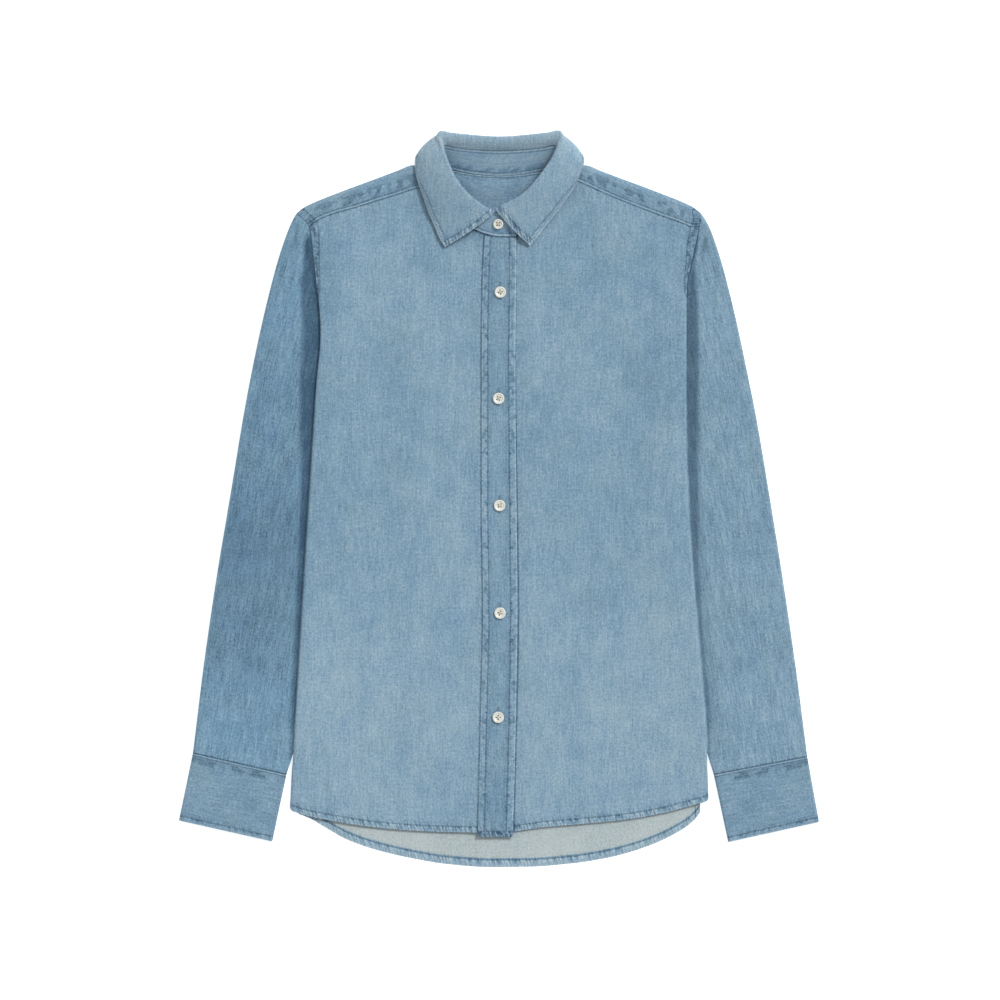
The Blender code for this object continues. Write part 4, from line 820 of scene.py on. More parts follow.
def make_back(finish, sizes):
    side_part = filled((0.0, 0.02, 0.043, 0.07, 0.1, 0.135, 0.18), 0.009)
    half = np.concatenate([side_part, filled((0.18, 0.5), 0.011)[1:]])
    across = np.concatenate([half, 1.0 - half[-2::-1]])[None, :]
    ys = filled(BACK_YS, BACK_STEP)
    right_x = seam_x(WEARERS_RIGHT, ys) + SEAM_GAP / 2.0
    left_x = seam_x(WEARERS_LEFT, ys) - SEAM_GAP / 2.0
    x = between(right_x[:, None], left_x[:, None], across)
    y = np.broadcast_to(ys[:, None], x.shape).copy()
    y[0] -= SEAM_GAP / 2.0
    hem = follow(BACK_HEM, "x", "y", x[-1])
    to_hem = ease((-120.0 - ys) / 170.0)[:, None]
    over_hem = HEM_WIDTH + 8.0
    y = between(y, y + hem + over_hem - ys[-1], to_hem)
    for above_hem in filled((over_hem, HEM_WIDTH, 0.0), HEM_STEP)[1:]:
        x = np.concatenate([x, x[-1:]])
        y = np.concatenate([y, hem[None] + above_hem])
    clear = ease((x - x[:, :1]) / 26.0 - 0.4) * ease((x[:, -1:] - x) / 26.0 - 0.4)
    clear = clear * ease(to_end(surface(x, y, 0.0), 0) / 20.0)
    grid = surface(x, y, back_under(x, y) + creased(x, y, BACK_CREASES) * clear)
    run = seam_place(np.minimum(from_start(grid, 1), to_end(grid, 1)) / ARMHOLE_BAND)
    cross = seam_place(to_end(grid, 0) / HEM_WIDTH, from_start(grid, 0))
    seams = seam_map(grid.shape[:2], run, cross)
    turned = (to_end(grid, 0) < HEM_WIDTH + 0.5)[1:, 1:]
    piece = laid_shell("back_cloth", grid, sizes.cloth, -1, grid[..., :2], seams, finish, turned)
    hem_line = inset_from(grid, "foot", HEM_WIDTH)
    sides = [inset_from(grid, edge, ARMHOLE_BAND) for edge in ("first", "last")]
    return piece, [hem_line, hem_line + np.array([0.0, 0.0, sizes.cloth])] + sides


# Which way the fold over the shoulder bulges in plan, at three places.
ARMHOLE_BULGE = np.array([0.72, 0.70])
SHOULDER_BULGE = np.array([0.34, 0.94])
NECK_BULGE = np.array([0.2, 0.98])
BACK_OF_YOKE = (0.0, 0.25, 0.5, 0.75, 0.9)
DIAGONAL = 0.71


def fold_path(fold, bulge, turns):
    """Points round the shoulder fold, turned from lying on the back (0) to the front (pi)."""
    top = body_top(fold[0], fold[1] - 3.0)
    under = back_under(fold[0], fold[1] - 3.0)
    radius = (top - under) / 2.0
    centre = fold - bulge * radius
    turns = np.asarray(turns, float)
    out = radius * np.sin(turns)
    return surface(centre[0] + bulge[0] * out, centre[1] + bulge[1] * out,
                   under + radius * (1.0 - np.cos(turns)))


def laid(start, end, shares, height):
    """Points between two plan points, at a height that is a function of x and y."""
    x, y = between(np.array(start, float), np.array(end, float), np.array(shares)[:, None]).T
    return surface(x, y, height(x, y))


def shoulder_column(side, place):
    """One line of the yoke over the shoulder, at a shared place of the front seam."""
    end = yoke_seam_point(side, place) + np.array([0.0, SEAM_GAP / 2.0])
    side_y = ARMHOLE_YS[1]
    to_side = (abs(strip_start_x(side, side_y)) - YOKE_SEAM_NECK_X) * place
    share = to_side / (abs(body_edge_x(side, side_y)) - YOKE_SEAM_NECK_X)
    fold_x = side * between(NECK_POINT_X, abs(body_edge_x(side, SHOULDER_TIP_Y)), share)
    fold = np.array([fold_x, follow(SHOULDER_FOLD, "along", "y", share)])
    weight = ease((share - 0.8) / 0.2)
    bulge = between(SHOULDER_BULGE, ARMHOLE_BULGE, weight) * np.array([side, 1.0])
    arc = fold_path(fold, bulge / np.linalg.norm(bulge), np.linspace(0.0, math.pi, 5))
    start_x = side * between(56.0, abs(seam_x(side, BACK_YOKE_Y)) - SEAM_GAP / 2.0, share)
    start = (start_x, BACK_YOKE_Y + SEAM_GAP / 2.0)
    back = laid(start, arc[0, :2], BACK_OF_YOKE, back_under)
    return np.concatenate([back, arc, laid(arc[-1, :2], end, (0.5, 1.0), body_top)])


def armhole_column(side):
    """The yoke's edge along the armhole seam, at the heights that the sleeve shares."""
    ys = np.array((ARMHOLE_YS[5] + SEAM_GAP / 2.0,) + ARMHOLE_YS[4:0:-1])
    back = surface(seam_x(side, ys) - side * SEAM_GAP / 2.0, ys, back_under(seam_x(side, ys), ys))
    shift = np.array([-side, 1.0]) * SEAM_GAP / 2.0 * DIAGONAL
    tip = np.array([float(body_edge_x(side, SHOULDER_TIP_Y)), SHOULDER_TIP_Y]) + shift
    bulge = ARMHOLE_BULGE * np.array([side, 1.0])
    arc = fold_path(tip, bulge, np.linspace(0.0, math.pi, 5))
    corner = np.array([float(seam_x(side, ARMHOLE_YS[0])), ARMHOLE_YS[0]]) + shift
    end_y = ARMHOLE_YS[1] + SEAM_GAP / 2.0
    end = np.array([float(seam_x(side, ARMHOLE_YS[1])) - side * SEAM_GAP / 2.0, end_y])
    plan = np.array([corner, end])
    front = surface(plan[:, 0], plan[:, 1], follow(SIDE_HEIGHTS, "y", "top", plan[:, 1]))
    return np.concatenate([back, arc, front])


def back_neck_y(x):
    return BACK_NECK_Y + BACK_NECK_RISE * (x / BACK_NECK_RISE_AT) ** 2


def round_neck_column(side, fold_x, turn_end, reaches_front=False):
    """A line of the yoke that ends on its neck edge, on the shoulder fold."""
    fold = np.array([side * fold_x, float(follow(SHOULDER_FOLD, "along", "y", 0.0))])
    turns = 5 if reaches_front else 7
    arc = fold_path(fold, NECK_BULGE * np.array([side, 1.0]), np.linspace(0.0, turn_end, turns))
    start = (side * fold_x * 0.8, BACK_YOKE_Y + SEAM_GAP / 2.0)
    back = laid(start, arc[0, :2], BACK_OF_YOKE, back_under)
    if not reaches_front:
        return np.concatenate([back, arc])
    end = between(arc[-1, :2], yoke_seam_point(side, 0.0), 0.5) - np.array([side * 1.3, 0.0])
    return np.concatenate([back, arc, laid(arc[-1, :2], end, (0.5, 1.0), body_top)])


def back_neck_column(x):
    """A line of the yoke that stops at the back neck."""
    shares = np.concatenate([BACK_OF_YOKE, np.linspace(0.93, 1.0, 7)])
    return laid((x * 0.8, BACK_YOKE_Y + SEAM_GAP / 2.0), (x, back_neck_y(x)), shares, back_under)


# Lines of the yoke that end on its neck edge: where on the fold, and the half turns round it.
NECK_LINES = ((66.0, 1.0), (64.4, 0.5), (62.6, 0.1))
BACK_NECK_XS = (58.0, 50.0, 38.0, 20.0)
YOKE_CREASES = creases(
    (-150, 292, -128, 286, 5, 0.4, 0), (-116, 303, -96, 300, 6, 0.35, 1),
    (-176, 284, -160, 279, 4, 0.4, 0), (148, 292, 128, 284, 5, 0.4, 0),
    (112, 305, 92, 300, 6, 0.35, 1), (176, 282, 160, 277, 4, 0.4, 0),
)


def half_yoke(side):
    """The yoke's lines from the armhole to beside the middle of the back neck."""
    places = filled(YOKE_SEAM_PLACES, 0.03)[::-1]
    return ([armhole_column(side)] + [shoulder_column(side, float(place)) for place in places]
            + [round_neck_column(side, 67.4, math.pi, reaches_front=True)]
            + [round_neck_column(side, x, math.pi * turn) for x, turn in NECK_LINES]
            + [back_neck_column(side * x) for x in BACK_NECK_XS])


def make_yoke(finish, sizes):
    columns = half_yoke(WEARERS_RIGHT) + [back_neck_column(0.0)] + half_yoke(WEARERS_LEFT)[::-1]
    grid = np.array(columns).transpose(1, 0, 2)
    grid = smoothed(grid, YOKE_STEPS)
    on_front = ease((to_end(grid, 0) - 0.5) / 6.0) * ease((grid[..., 2] - 4.6) / 0.6)
    on_front = on_front * ease((np.abs(grid[..., 0]) - 74.0) / 8.0)
    grid[..., 2] += creased(grid[..., 0], grid[..., 1], YOKE_CREASES) * on_front
    place = np.stack([-to_end(grid, 0), grid[..., 0]], axis=-1)
    to_front, to_back = to_end(grid, 0), from_start(grid, 0)
    run = seam_place(np.minimum(to_front, to_back) / YOKE_BAND)
    cross = seam_place(np.minimum(from_start(grid, 1), to_end(grid, 1)) / ARMHOLE_BAND)
    beside = hill(to_front, 2.0, 2.5, 11.0, 5.0)
    at_neck = np.abs(grid[..., 0]) < 60.0
    seams = seam_map(grid.shape[:2], run, cross, np.where(at_neck, 0.35, 1.0) * beside)
    piece = laid_shell("yoke_cloth", grid, sizes.cloth, 1, place, seams, finish)
    from_front = lines_from(grid, "foot")
    on_seam = np.abs(from_front[:, 0, 0]) > YOKE_SEAM_NECK_X + 1.0
    first, last = np.argmin(on_seam), len(on_seam) - np.argmin(on_seam[::-1])
    lines = [inset_from(grid, edge, ARMHOLE_BAND) for edge in ("first", "last")]
    lines += [inset_line(part, YOKE_BAND) for part in (from_front[:first], from_front[last:])]
    return piece, lines + [inset_from(grid, "top", YOKE_BAND)]


# ---- Sleeves and cuffs ----

UPPER_OUTER_SHARES = np.linspace(0.0, 1.0, 26)
BESIDE_BODY = filled((15.0, 9.0, 4.5, 1.5), 2.0)
LOWER_SHARES = np.concatenate([[1.0, 0.98], np.linspace(0.94, 0.06, 24), [0.02, 0.0]])
HIDDEN_SHARES = np.linspace(0.0, 1.0, 6)
UPPER_COUNT = len(UPPER_OUTER_SHARES) + len(BESIDE_BODY) - 1 + len(HIDDEN_SHARES)
LOOKED_AT = 600        # points of a row that are looked at for the body's edge
FOLD_STEPS = 7
CUFF_BAND = 2.0
CUFF_EDGE = 4.5
HEAD_TUCK = 2.4        # how far a sleeve's head runs under the yoke's rounded end

# Soft folds of each sleeve: below its head, along it, and above its cuff.
SLEEVE_CREASES = {
    WEARERS_RIGHT: creases(
        (-195, 272, -214, 214, 2.6, 0.8, -2), (-199, 262, -206, 222, 2.2, -0.7, 1),
        (-207, 246, -222, 170, 4.5, 0.6, -2), (-196, 240, -208, 176, 3.4, 0.45, 1),
        (-218, 190, -238, 40, 8, 0.55, -3), (-205, 150, -214, 40, 7, -0.45, 2),
        (-226, 80, -250, -90, 9, 0.6, 4), (-212, 0, -236, -150, 8, 0.55, -4),
        (-258, -20, -280, -190, 8, 0.5, 3), (-240, -110, -262, -240, 7, -0.55, 2),
        (-222, -120, -236, -250, 7, 0.6, 2), (-246, 30, -256, -60, 7, -0.4, 0),
    ),
    WEARERS_LEFT: creases(
        (194, 270, 206, 224, 2.4, 0.7, 2), (198, 258, 212, 208, 3.0, -0.55, -1),
        (206, 246, 224, 168, 4.5, 0.6, 2), (216, 200, 236, 60, 8, 0.55, 4),
        (204, 160, 216, 30, 7, -0.45, -2), (228, 60, 252, -100, 9, 0.65, -4),
        (212, 10, 236, -130, 8, 0.6, 3), (256, -10, 282, -180, 8, 0.5, -3),
        (244, -100, 268, -236, 8, -0.55, -2), (226, -110, 244, -246, 8, 0.65, -3),
        (262, -120, 284, -240, 6, 0.45, 1),
    ),
}
# How far the painted shade beside the body reaches over each sleeve, where it goes in under the
# body.
VALLEY_PAINTED_SHADES = table(
    "y right left",
    (281, 1.0, 1.0), (262, 2.5, 1.0), (240, 6.0, 1.5), (215, 11.0, 5.5), (190, 14.0, 8.5),
    (120, 13.0, 9.0), (60, 9.5, 9.0), (10, 6.5, 8.0), (-40, 5.0, 5.5), (-110, 4.5, 3.5),
    (-180, 3.5, 3.0), (-248, 2.0, 1.5),
)
# How much darker each sleeve's tone is, down its length.
SLEEVE_DARKENING = table(
    "y right left",
    (281, -0.02, 0.0), (156, 0.06, 0.0), (39, 0.17, 0.0), (-60, 0.30, 0.01), (-157, 0.15, 0.0),
    (-240, -0.07, -0.04),
)
# Painted shade of short folds below each sleeve's head: dark strokes whose height is how much
# darker.
SLEEVE_PAINTED_SHADES = {
    WEARERS_RIGHT: creases(
        (-197, 270, -200, 246, 1.8, 0.42, 0), (-188, 262, -192, 226, 2.2, 0.34, 0),
        (-203, 256, -214, 218, 2.4, 0.16, 0),
    ),
    WEARERS_LEFT: creases(
        (204, 260, 199.5, 240, 2.0, 0.5, 0), (199.5, 270, 200.5, 250, 2.2, 0.2, 0),
        (208, 250, 214, 214, 2.6, 0.14, 0),
    ),
}
# Gathers above a cuff: place along the join, length, width and height.
GATHERS = table(
    "place length width height",
    (0.07, 16, 2.0, 0.35), (0.15, 26, 2.4, 0.5), (0.25, 15, 1.9, 0.35), (0.33, 36, 2.8, 0.55),
    (0.43, 20, 2.0, 0.4), (0.52, 30, 2.4, -0.4), (0.60, 17, 2.0, 0.45), (0.69, 34, 2.8, 0.5),
    (0.78, 18, 2.0, 0.4), (0.86, 24, 2.2, 0.45), (0.94, 14, 1.8, 0.35),
)


def gather_creases(side):
    outer, inner = np.array(CUFF_JOIN[side])
    up = np.array([-side * 0.19, 1.0]) / math.hypot(0.19, 1.0)
    found = []
    for gather in GATHERS:
        foot = between(outer, inner, gather.place) - up * 3.0
        head = foot + up * (gather.length + 3.0)
        found.append((*foot, *head, gather.width, gather.height, 0.0))
    return creases(*found)


def sleeve_rows():
    """Rows across a sleeve, close together."""
    outer_ys = [row.outer_y for row in SLEEVE_ROWS]
    counts = [max(2, math.ceil(abs(b - a) / SLEEVE_STEP)) for a, b in zip(outer_ys, outer_ys[1:])]
    at = [i + np.arange(count) / count for i, count in enumerate(counts)]
    at = np.concatenate(at + [[len(counts)]])
    numbered = table("at outer_y inner_y", *((i, *row) for i, row in enumerate(SLEEVE_ROWS)))
    ends = (follow(numbered, "at", column, at).tolist() for column in ("outer_y", "inner_y"))
    return table("outer_y inner_y", *zip(*ends))


def row_ends(side, row, place):
    """The plan points on the outer fold and on the armhole seam or the inner fold."""
    outer = np.array([float(sleeve_edge_x(side, row.outer_y)), row.outer_y])
    if row.inner_y < UNDERARM_Y:
        inner = np.array([float(inner_fold_x(side, row.inner_y)), row.inner_y])
        at_cuff = float(ease((place - 0.9) / 0.1))
        joined = np.array(CUFF_JOIN[side]) + (0.0, SEAM_GAP)
        return between(outer, joined[0], at_cuff), between(inner, joined[1], at_cuff)
    inner = np.array([float(seam_x(side, row.inner_y)) + side * SEAM_GAP / 2.0, row.inner_y])
    at_head = float(1.0 - ease(place / 0.012))
    shift = np.array([side, -1.0]) * SEAM_GAP / 2.0 * DIAGONAL * at_head
    return outer + shift, inner + shift


def hidden_length(side, outer, inner):
    """How much of a row lies under the body, from its inner end."""
    share = np.linspace(0.0, 1.0, LOOKED_AT)
    plan = between(inner, outer, share[:, None])
    outside = side * (plan[:, 0] - body_edge_x(side, plan[:, 1])) > 0.0
    length = np.linalg.norm(outer - inner)
    return float(share[np.argmax(outside)]) * length


def fold_round(tip, inward, height, inset, steps):
    """Points round a fold from its upper side to its lower one."""
    angle = math.pi * (np.arange(steps) + 1.0) / (steps + 1.0)
    out = height / 2.0 - (height / 2.0 - inset) * np.sin(angle)
    z = height / 2.0 + (height / 2.0 - inset) * np.cos(angle)
    return surface(tip[0] + inward[0] * out, tip[1] + inward[1] * out, z)


def flattened_ring(outer, inner, upper, lower, heights, top_of, inset, is_open):
    """A ring of flattened cloth: upper layer, inner fold, lower layer, outer fold."""
    length = np.linalg.norm(outer - inner)
    inward = (inner - outer) / length
    outer_height, inner_height = heights
    end = 0.0 if is_open else inner_height / 2.0
    upper = np.clip(upper, end, length - outer_height / 2.0)
    plan = between(inner, outer, upper[:, None] / length)
    z = np.array(top_of(plan[:, 0], plan[:, 1]), float)
    z[0] = outer_height
    if not is_open:
        z[-1] = inner_height
    top = surface(plan[:, 0], plan[:, 1], z - inset)
    below = between(end, length - outer_height / 2.0, lower)
    plan = between(inner, outer, below[:, None] / length)
    bottom = surface(plan[:, 0], plan[:, 1], inset)
    inner_fold = fold_round(inner, -inward, inner_height, inset, FOLD_STEPS)
    outer_fold = fold_round(outer, inward, outer_height, inset, FOLD_STEPS)[::-1]
    return np.concatenate([top, inner_fold, bottom, outer_fold])


def sleeve_ring(side, row, place, inset, folds):
    """One row of a sleeve, all the way round."""
    outer, inner = row_ends(side, row, place)
    length = np.linalg.norm(outer - inner)
    hidden = max(hidden_length(side, outer, inner), 0.05 * length)
    is_open = row.inner_y >= UNDERARM_Y
    scale = min(1.0, (length - hidden) / 42.0)
    beside = hidden + BESIDE_BODY * scale
    fold_top = float(sleeve_fold_top(row.outer_y))
    tangent = length - fold_top / 2.0
    outer_part = between(tangent, beside[0], UPPER_OUTER_SHARES)
    inner_top = float(sleeve_top(side, inner[0], inner[1]))
    end = 0.0 if is_open else inner_top / 2.0
    upper = np.concatenate([outer_part, beside[1:], between(hidden, end, HIDDEN_SHARES)])

    def top_of(x, y):
        from_fold = side * (sleeve_edge_x(side, y) - x) - fold_top / 2.0
        from_body = side * (x - body_edge_x(side, y))
        clear = ease(from_fold / 5.0) * ease((from_body - 1.5) / 6.0)
        return sleeve_top(side, x, y) + creased(x, y, folds) * clear

    return flattened_ring(outer, inner, upper, 1.0 - LOWER_SHARES, (fold_top, inner_top), top_of,
                          inset, is_open)


def closed_place(grid, start, turned=False):
    """The plan of a ring's cloth: the length round it, from a column on, and along it."""
    closed = np.concatenate([grid, grid[:, :1]], axis=1)
    around = from_start(closed, 1)
    around = around - around[:, start:start + 1]
    along = from_start(closed, 0)
    along = np.broadcast_to(along.mean(axis=1, keepdims=True), around.shape)
    return np.stack([along, around] if turned else [around, -along], axis=-1)


def make_sleeve(side, name, finish, sizes):
    folds = SLEEVE_CREASES[side] + gather_creases(side)
    rows = sleeve_rows()
    places = np.linspace(0.0, 1.0, len(rows))
    outer, inner = (
        np.array([sleeve_ring(side, row, place, inset, folds) for row, place in zip(rows, places)])
        for inset in (0.0, sizes.cloth))
    columns = outer.shape[1]
    is_upper = np.arange(columns) < UPPER_COUNT
    for ring in (outer[0], inner[0]):
        down = (ring[:, 1] - ring[:, 1].min()) / np.ptp(ring[:, 1])
        tucked = ease(down / 0.25) * ease((1.0 - down) / 0.2)
        ring[:, 0] -= side * HEAD_TUCK * tucked
        ring[:, 2] -= 0.9 * tucked * is_upper
    is_open = np.array([row.inner_y >= UNDERARM_Y for row in rows])
    missing = np.zeros((len(rows) - 1, columns), bool)
    missing[is_open[:-1], UPPER_COUNT - 1:UPPER_COUNT + FOLD_STEPS] = True
    around = from_start(outer, 1)
    to_seam = np.abs(around - around[:, UPPER_COUNT - 1:UPPER_COUNT])
    below = ~is_upper[None, :] & ~is_open[:, None]
    run = seam_place(np.where(below, np.abs(to_seam - 10.0) / 7.0, FAR),
                     np.where(is_upper[None, :] & is_open[:, None], to_seam, FAR))
    cross = seam_place(FAR, np.minimum(from_start(outer, 0) + 3.0, to_end(outer, 0)))
    x, y = outer[..., 0], outer[..., 1]
    from_body = side * (x - body_edge_x(side, y))
    # Painted shade where the sleeve goes in under the body; at the body's edge, low down, it turns
    # to painted light against the groove's dark.
    width = by_side(VALLEY_PAINTED_SHADES, side, y)
    valley_painted_shade = 1.0 - ease((from_body - width) / (2.5 + 0.3 * width))
    painted_light_at_edge = (1.0 - ease(from_body / 2.0)) * ease((150.0 - y) / 150.0)
    strength = between(0.5, 0.72, ease((y - 10.0) / 150.0)) - 1.1 * painted_light_at_edge
    valley_painted_shade = valley_painted_shade * strength * ease((268.0 - y) / 16.0)
    # The sleeve's darker tone down its length, plus the painted shade of small folds below its
    # head.
    depth = by_side(SLEEVE_DARKENING, side, y) + creased(x, y, SLEEVE_PAINTED_SHADES[side])
    seams = seam_map(outer.shape[:2], run, cross, deep=(valley_painted_shade + depth) * is_upper[None, :])
    place = closed_place(outer, 0)
    piece = cloth_shell(name, outer, inner, place, seams, finish, is_ring=True, missing=missing)
    return piece, []


CUFF_DEPTH = 67.0
CUFF_SWELL = 0.35      # how much the middle of a cuff bulges
CUFF_SECOND_ROW = 12.0


def cuff_ring(side, down, inset):
    """One row of a cuff, all the way round, from its join (0) to its edge (1)."""
    outer, inner = between(np.array(CUFF_JOIN[side]), np.array(CUFF_FOOT[side]), down)
    length = np.linalg.norm(outer - inner)
    height = CUFF_TOP - CUFF_SWELL

    def top_of(x, y):
        along = np.linspace(0.0, 1.0, len(x))
        swell = CUFF_SWELL * math.sin(math.pi * down) * np.sin(math.pi * along) ** 2
        return height + swell + 0.3 * math.exp(-((down * CUFF_DEPTH - CUFF_SECOND_ROW) / 1.2) ** 2)

    upper, lower = length * np.linspace(1.0, 0.0, 44), np.linspace(0.0, 1.0, 30)
    return flattened_ring(outer, inner, upper, lower, (height, height), top_of, inset, False)


def make_cuff(side, name, finish, sizes):
    downs = filled((0.0, 0.03, 0.06, 0.93, 1.0), 0.034)
    grid, inner = (np.array([cuff_ring(side, down, inset) for down in downs])
                   for inset in (0.0, sizes.cloth * 1.6))
    from_join, to_foot = from_start(grid, 0), to_end(grid, 0)
    run, cross = seam_place(from_join / CUFF_BAND), seam_place(to_foot / CUFF_EDGE)
    seams = seam_map(grid.shape[:2], run, cross, hill(from_join, 2.5, 1.5, 7.5, 3.0))
    place = closed_place(grid, 0, turned=True)
    piece = cloth_shell(name, grid, inner, place, seams, finish, is_ring=True)
    closed = np.concatenate([grid, grid[:, :1]], axis=1)
    rows = (("top", CUFF_BAND), ("top", CUFF_SECOND_ROW), ("foot", CUFF_EDGE))
    return piece, [inset_from(closed, edge, distance) for edge, distance in rows]


# ---- Collar ----

# The stand, as the middle of its wall: its lower edge and its upper edge, from the top end at the
# front (0), round the wearer's right, the back (1) and the wearer's left, to the end under it (2).
STAND = table(
    "round low_x low_y low_z high_x high_y high_z",
    (0.00, 16.6, 258.9, 5.1, 13.5, 277.0, 10.6), (0.10, -1.0, 259.3, 5.1, -3.0, 280.6, 12.0),
    (0.18, -13.0, 261.8, 5.1, -12.5, 283.4, 12.9), (0.30, -31.8, 270.6, 4.9, -25.5, 292.2, 15.2),
    (0.42, -47.6, 284.3, 5.2, -38.0, 305.5, 17.6), (0.52, -56.4, 299.0, 6.4, -46.5, 318.0, 19.5),
    (0.61, -60.4, 315.5, 8.0, -52.0, 333.0, 20.4), (0.68, -60.4, 326.4, 8.0, -55.0, 342.8, 19.6),
    (0.74, -54.8, 328.6, 6.0, -52.5, 345.6, 17.3), (0.80, -46.0, 325.6, 4.8, -44.5, 344.0, 16.6),
    (0.90, -24.0, 321.4, 4.5, -23.5, 341.6, 16.4), (1.00, 0.0, 319.6, 4.5, 0.0, 340.6, 16.3),
    (1.10, 24.0, 321.4, 4.5, 23.5, 341.6, 16.4), (1.20, 46.0, 325.6, 4.8, 45.5, 344.0, 16.6),
    (1.26, 54.8, 328.6, 6.0, 54.0, 345.6, 17.3), (1.32, 60.4, 326.4, 8.0, 57.0, 341.8, 19.6),
    (1.39, 59.6, 317.0, 8.0, 52.5, 331.5, 20.4), (1.48, 56.2, 301.0, 6.2, 44.5, 317.0, 19.2),
    (1.58, 47.2, 282.6, 4.4, 33.5, 303.0, 16.6), (1.70, 31.6, 268.4, 3.0, 18.5, 292.0, 13.4),
    (1.82, 13.5, 259.8, 2.45, 6.0, 283.6, 9.8), (2.00, -11.0, 260.4, 2.45, -11.5, 280.0, 8.6),
)

# The collar leaf, as the middle of its wall: where it starts on the stand, its roll, the middle of
# its fall and its free edge, from the wearer's right point round the back to the left one.
LEAF = table(
    "round stand roll_x roll_y roll_z mid_x mid_y mid_z edge_x edge_y edge_z",
    (0.00, 0.115, -5.0, 280.6, 16.6, -24.0, 263.4, 13.2, -52.6, 247.4, 7.2),
    (0.10, 0.170, -10.5, 282.4, 18.0, -32.0, 267.0, 14.4, -56.6, 253.0, 7.2),
    (0.22, 0.250, -20.0, 288.4, 19.4, -43.0, 276.5, 15.2, -60.8, 262.2, 7.4),
    (0.36, 0.380, -35.0, 300.8, 22.2, -55.0, 290.5, 17.8, -67.4, 278.0, 7.8),
    (0.48, 0.485, -44.2, 313.4, 23.8, -63.5, 304.5, 19.8, -73.0, 293.0, 9.0),
    (0.58, 0.570, -50.2, 326.0, 24.0, -70.0, 317.5, 20.0, -78.0, 307.5, 10.6),
    (0.66, 0.640, -54.6, 338.0, 24.4, -74.5, 329.5, 19.6, -81.0, 319.5, 11.4),
    (0.72, 0.690, -57.2, 347.5, 24.4, -76.5, 339.5, 17.6, -82.0, 328.5, 10.2),
    (0.77, 0.720, -60.0, 355.0, 24.0, -75.5, 348.5, 11.0, -81.8, 333.4, 5.4),
    (0.81, 0.745, -58.4, 358.0, 23.6, -66.5, 352.0, 0.0, -79.0, 328.0, 1.1),
    (0.86, 0.800, -46.0, 357.0, 23.6, -52.5, 350.0, -3.5, -66.0, 316.5, 1.1),
    (0.93, 0.900, -24.0, 354.8, 23.6, -27.0, 346.0, -3.5, -33.0, 312.5, 1.1),
    (1.00, 1.000, 0.0, 353.4, 23.6, 0.0, 344.5, -3.5, 0.0, 311.5, 1.1),
    (1.07, 1.100, 24.0, 354.8, 23.6, 27.0, 346.0, -3.5, 33.0, 312.5, 1.1),
    (1.14, 1.200, 47.0, 357.2, 23.6, 53.0, 350.0, -3.5, 66.0, 316.5, 1.1),
    (1.19, 1.255, 60.4, 358.2, 23.6, 68.0, 352.0, 0.0, 80.0, 328.0, 1.1),
    (1.23, 1.285, 61.8, 355.0, 24.0, 77.0, 347.5, 11.0, 83.0, 333.0, 5.4),
    (1.28, 1.310, 59.6, 346.0, 24.4, 77.5, 338.5, 17.6, 82.6, 327.0, 10.4),
    (1.34, 1.370, 54.2, 334.6, 24.4, 73.0, 327.5, 19.6, 78.2, 316.0, 11.4),
    (1.42, 1.437, 47.0, 324.0, 23.9, 66.0, 316.0, 19.2, 72.4, 303.8, 10.2),
    (1.52, 1.517, 38.0, 312.4, 23.4, 56.5, 303.0, 18.8, 63.8, 291.6, 8.4),
    (1.64, 1.620, 26.4, 299.4, 21.6, 43.0, 288.5, 16.8, 52.8, 276.8, 7.5),
    (1.78, 1.758, 10.0, 289.6, 18.6, 28.0, 275.5, 14.4, 42.2, 263.6, 7.3),
    (1.90, 1.860, 0.5, 285.6, 16.6, 18.5, 268.5, 13.2, 34.6, 253.6, 7.3),
    (2.00, 1.905, -3.2, 283.2, 15.8, 10.5, 265.8, 12.4, 30.2, 248.6, 7.3),
)
ROLL_RADIUS = 1.1
BACK_ROLL_RADIUS = 1.5
ROLL_START, ROLL_END, BACK_ROLL_END = -90.0, 14.0, 90.0   # degrees round the roll
STAND_BAND = 2.6
COLLAR_BAND = 5.4


def stand_point(round_to, high):
    """A point of the stand's middle, between its lower (0) and upper (1) edge."""
    low, top = (surface(*[follow(STAND, "round", f"{edge}_{axis}", round_to) for axis in "xyz"])
                for edge in ("low", "high"))
    return between(low, top, np.asarray(high)[..., None])


def make_collar_stand(finish, sizes):
    rounds = filled([0.0, 0.06] + [row.stand for row in LEAF] + [1.95, 2.0], 0.012)[:, None]
    at_back = ease((rounds - 0.6) / 0.12) * ease((1.4 - rounds) / 0.12)
    high = between(-0.04 - 0.05 * at_back, 1.0, np.linspace(0.0, 1.0, 15)[None, :])
    middle = stand_point(rounds, high)
    wall = sizes.stand
    normal = grid_normals(middle)
    outer, inner = middle + normal * wall / 2.0, middle - normal * wall / 2.0
    to_low, to_high = from_start(middle, 1), to_end(middle, 1)
    run = seam_place(np.minimum(to_low, to_high) / STAND_BAND)
    cross = seam_place(np.minimum(from_start(middle, 0), to_end(middle, 0)) / 5.0)
    seams = seam_map(middle.shape[:2], run, cross, 0.9 * hill(to_low, 1.5, 2.0, 5.5, 5.0))
    place = np.stack([to_low, from_start(middle, 0)], axis=-1)
    piece = cloth_shell("collar_stand_cloth", outer, inner, place, seams, finish)
    return piece, [inset_from(face, edge, STAND_BAND)
                   for face in (outer, inner) for edge in ("first", "last")]


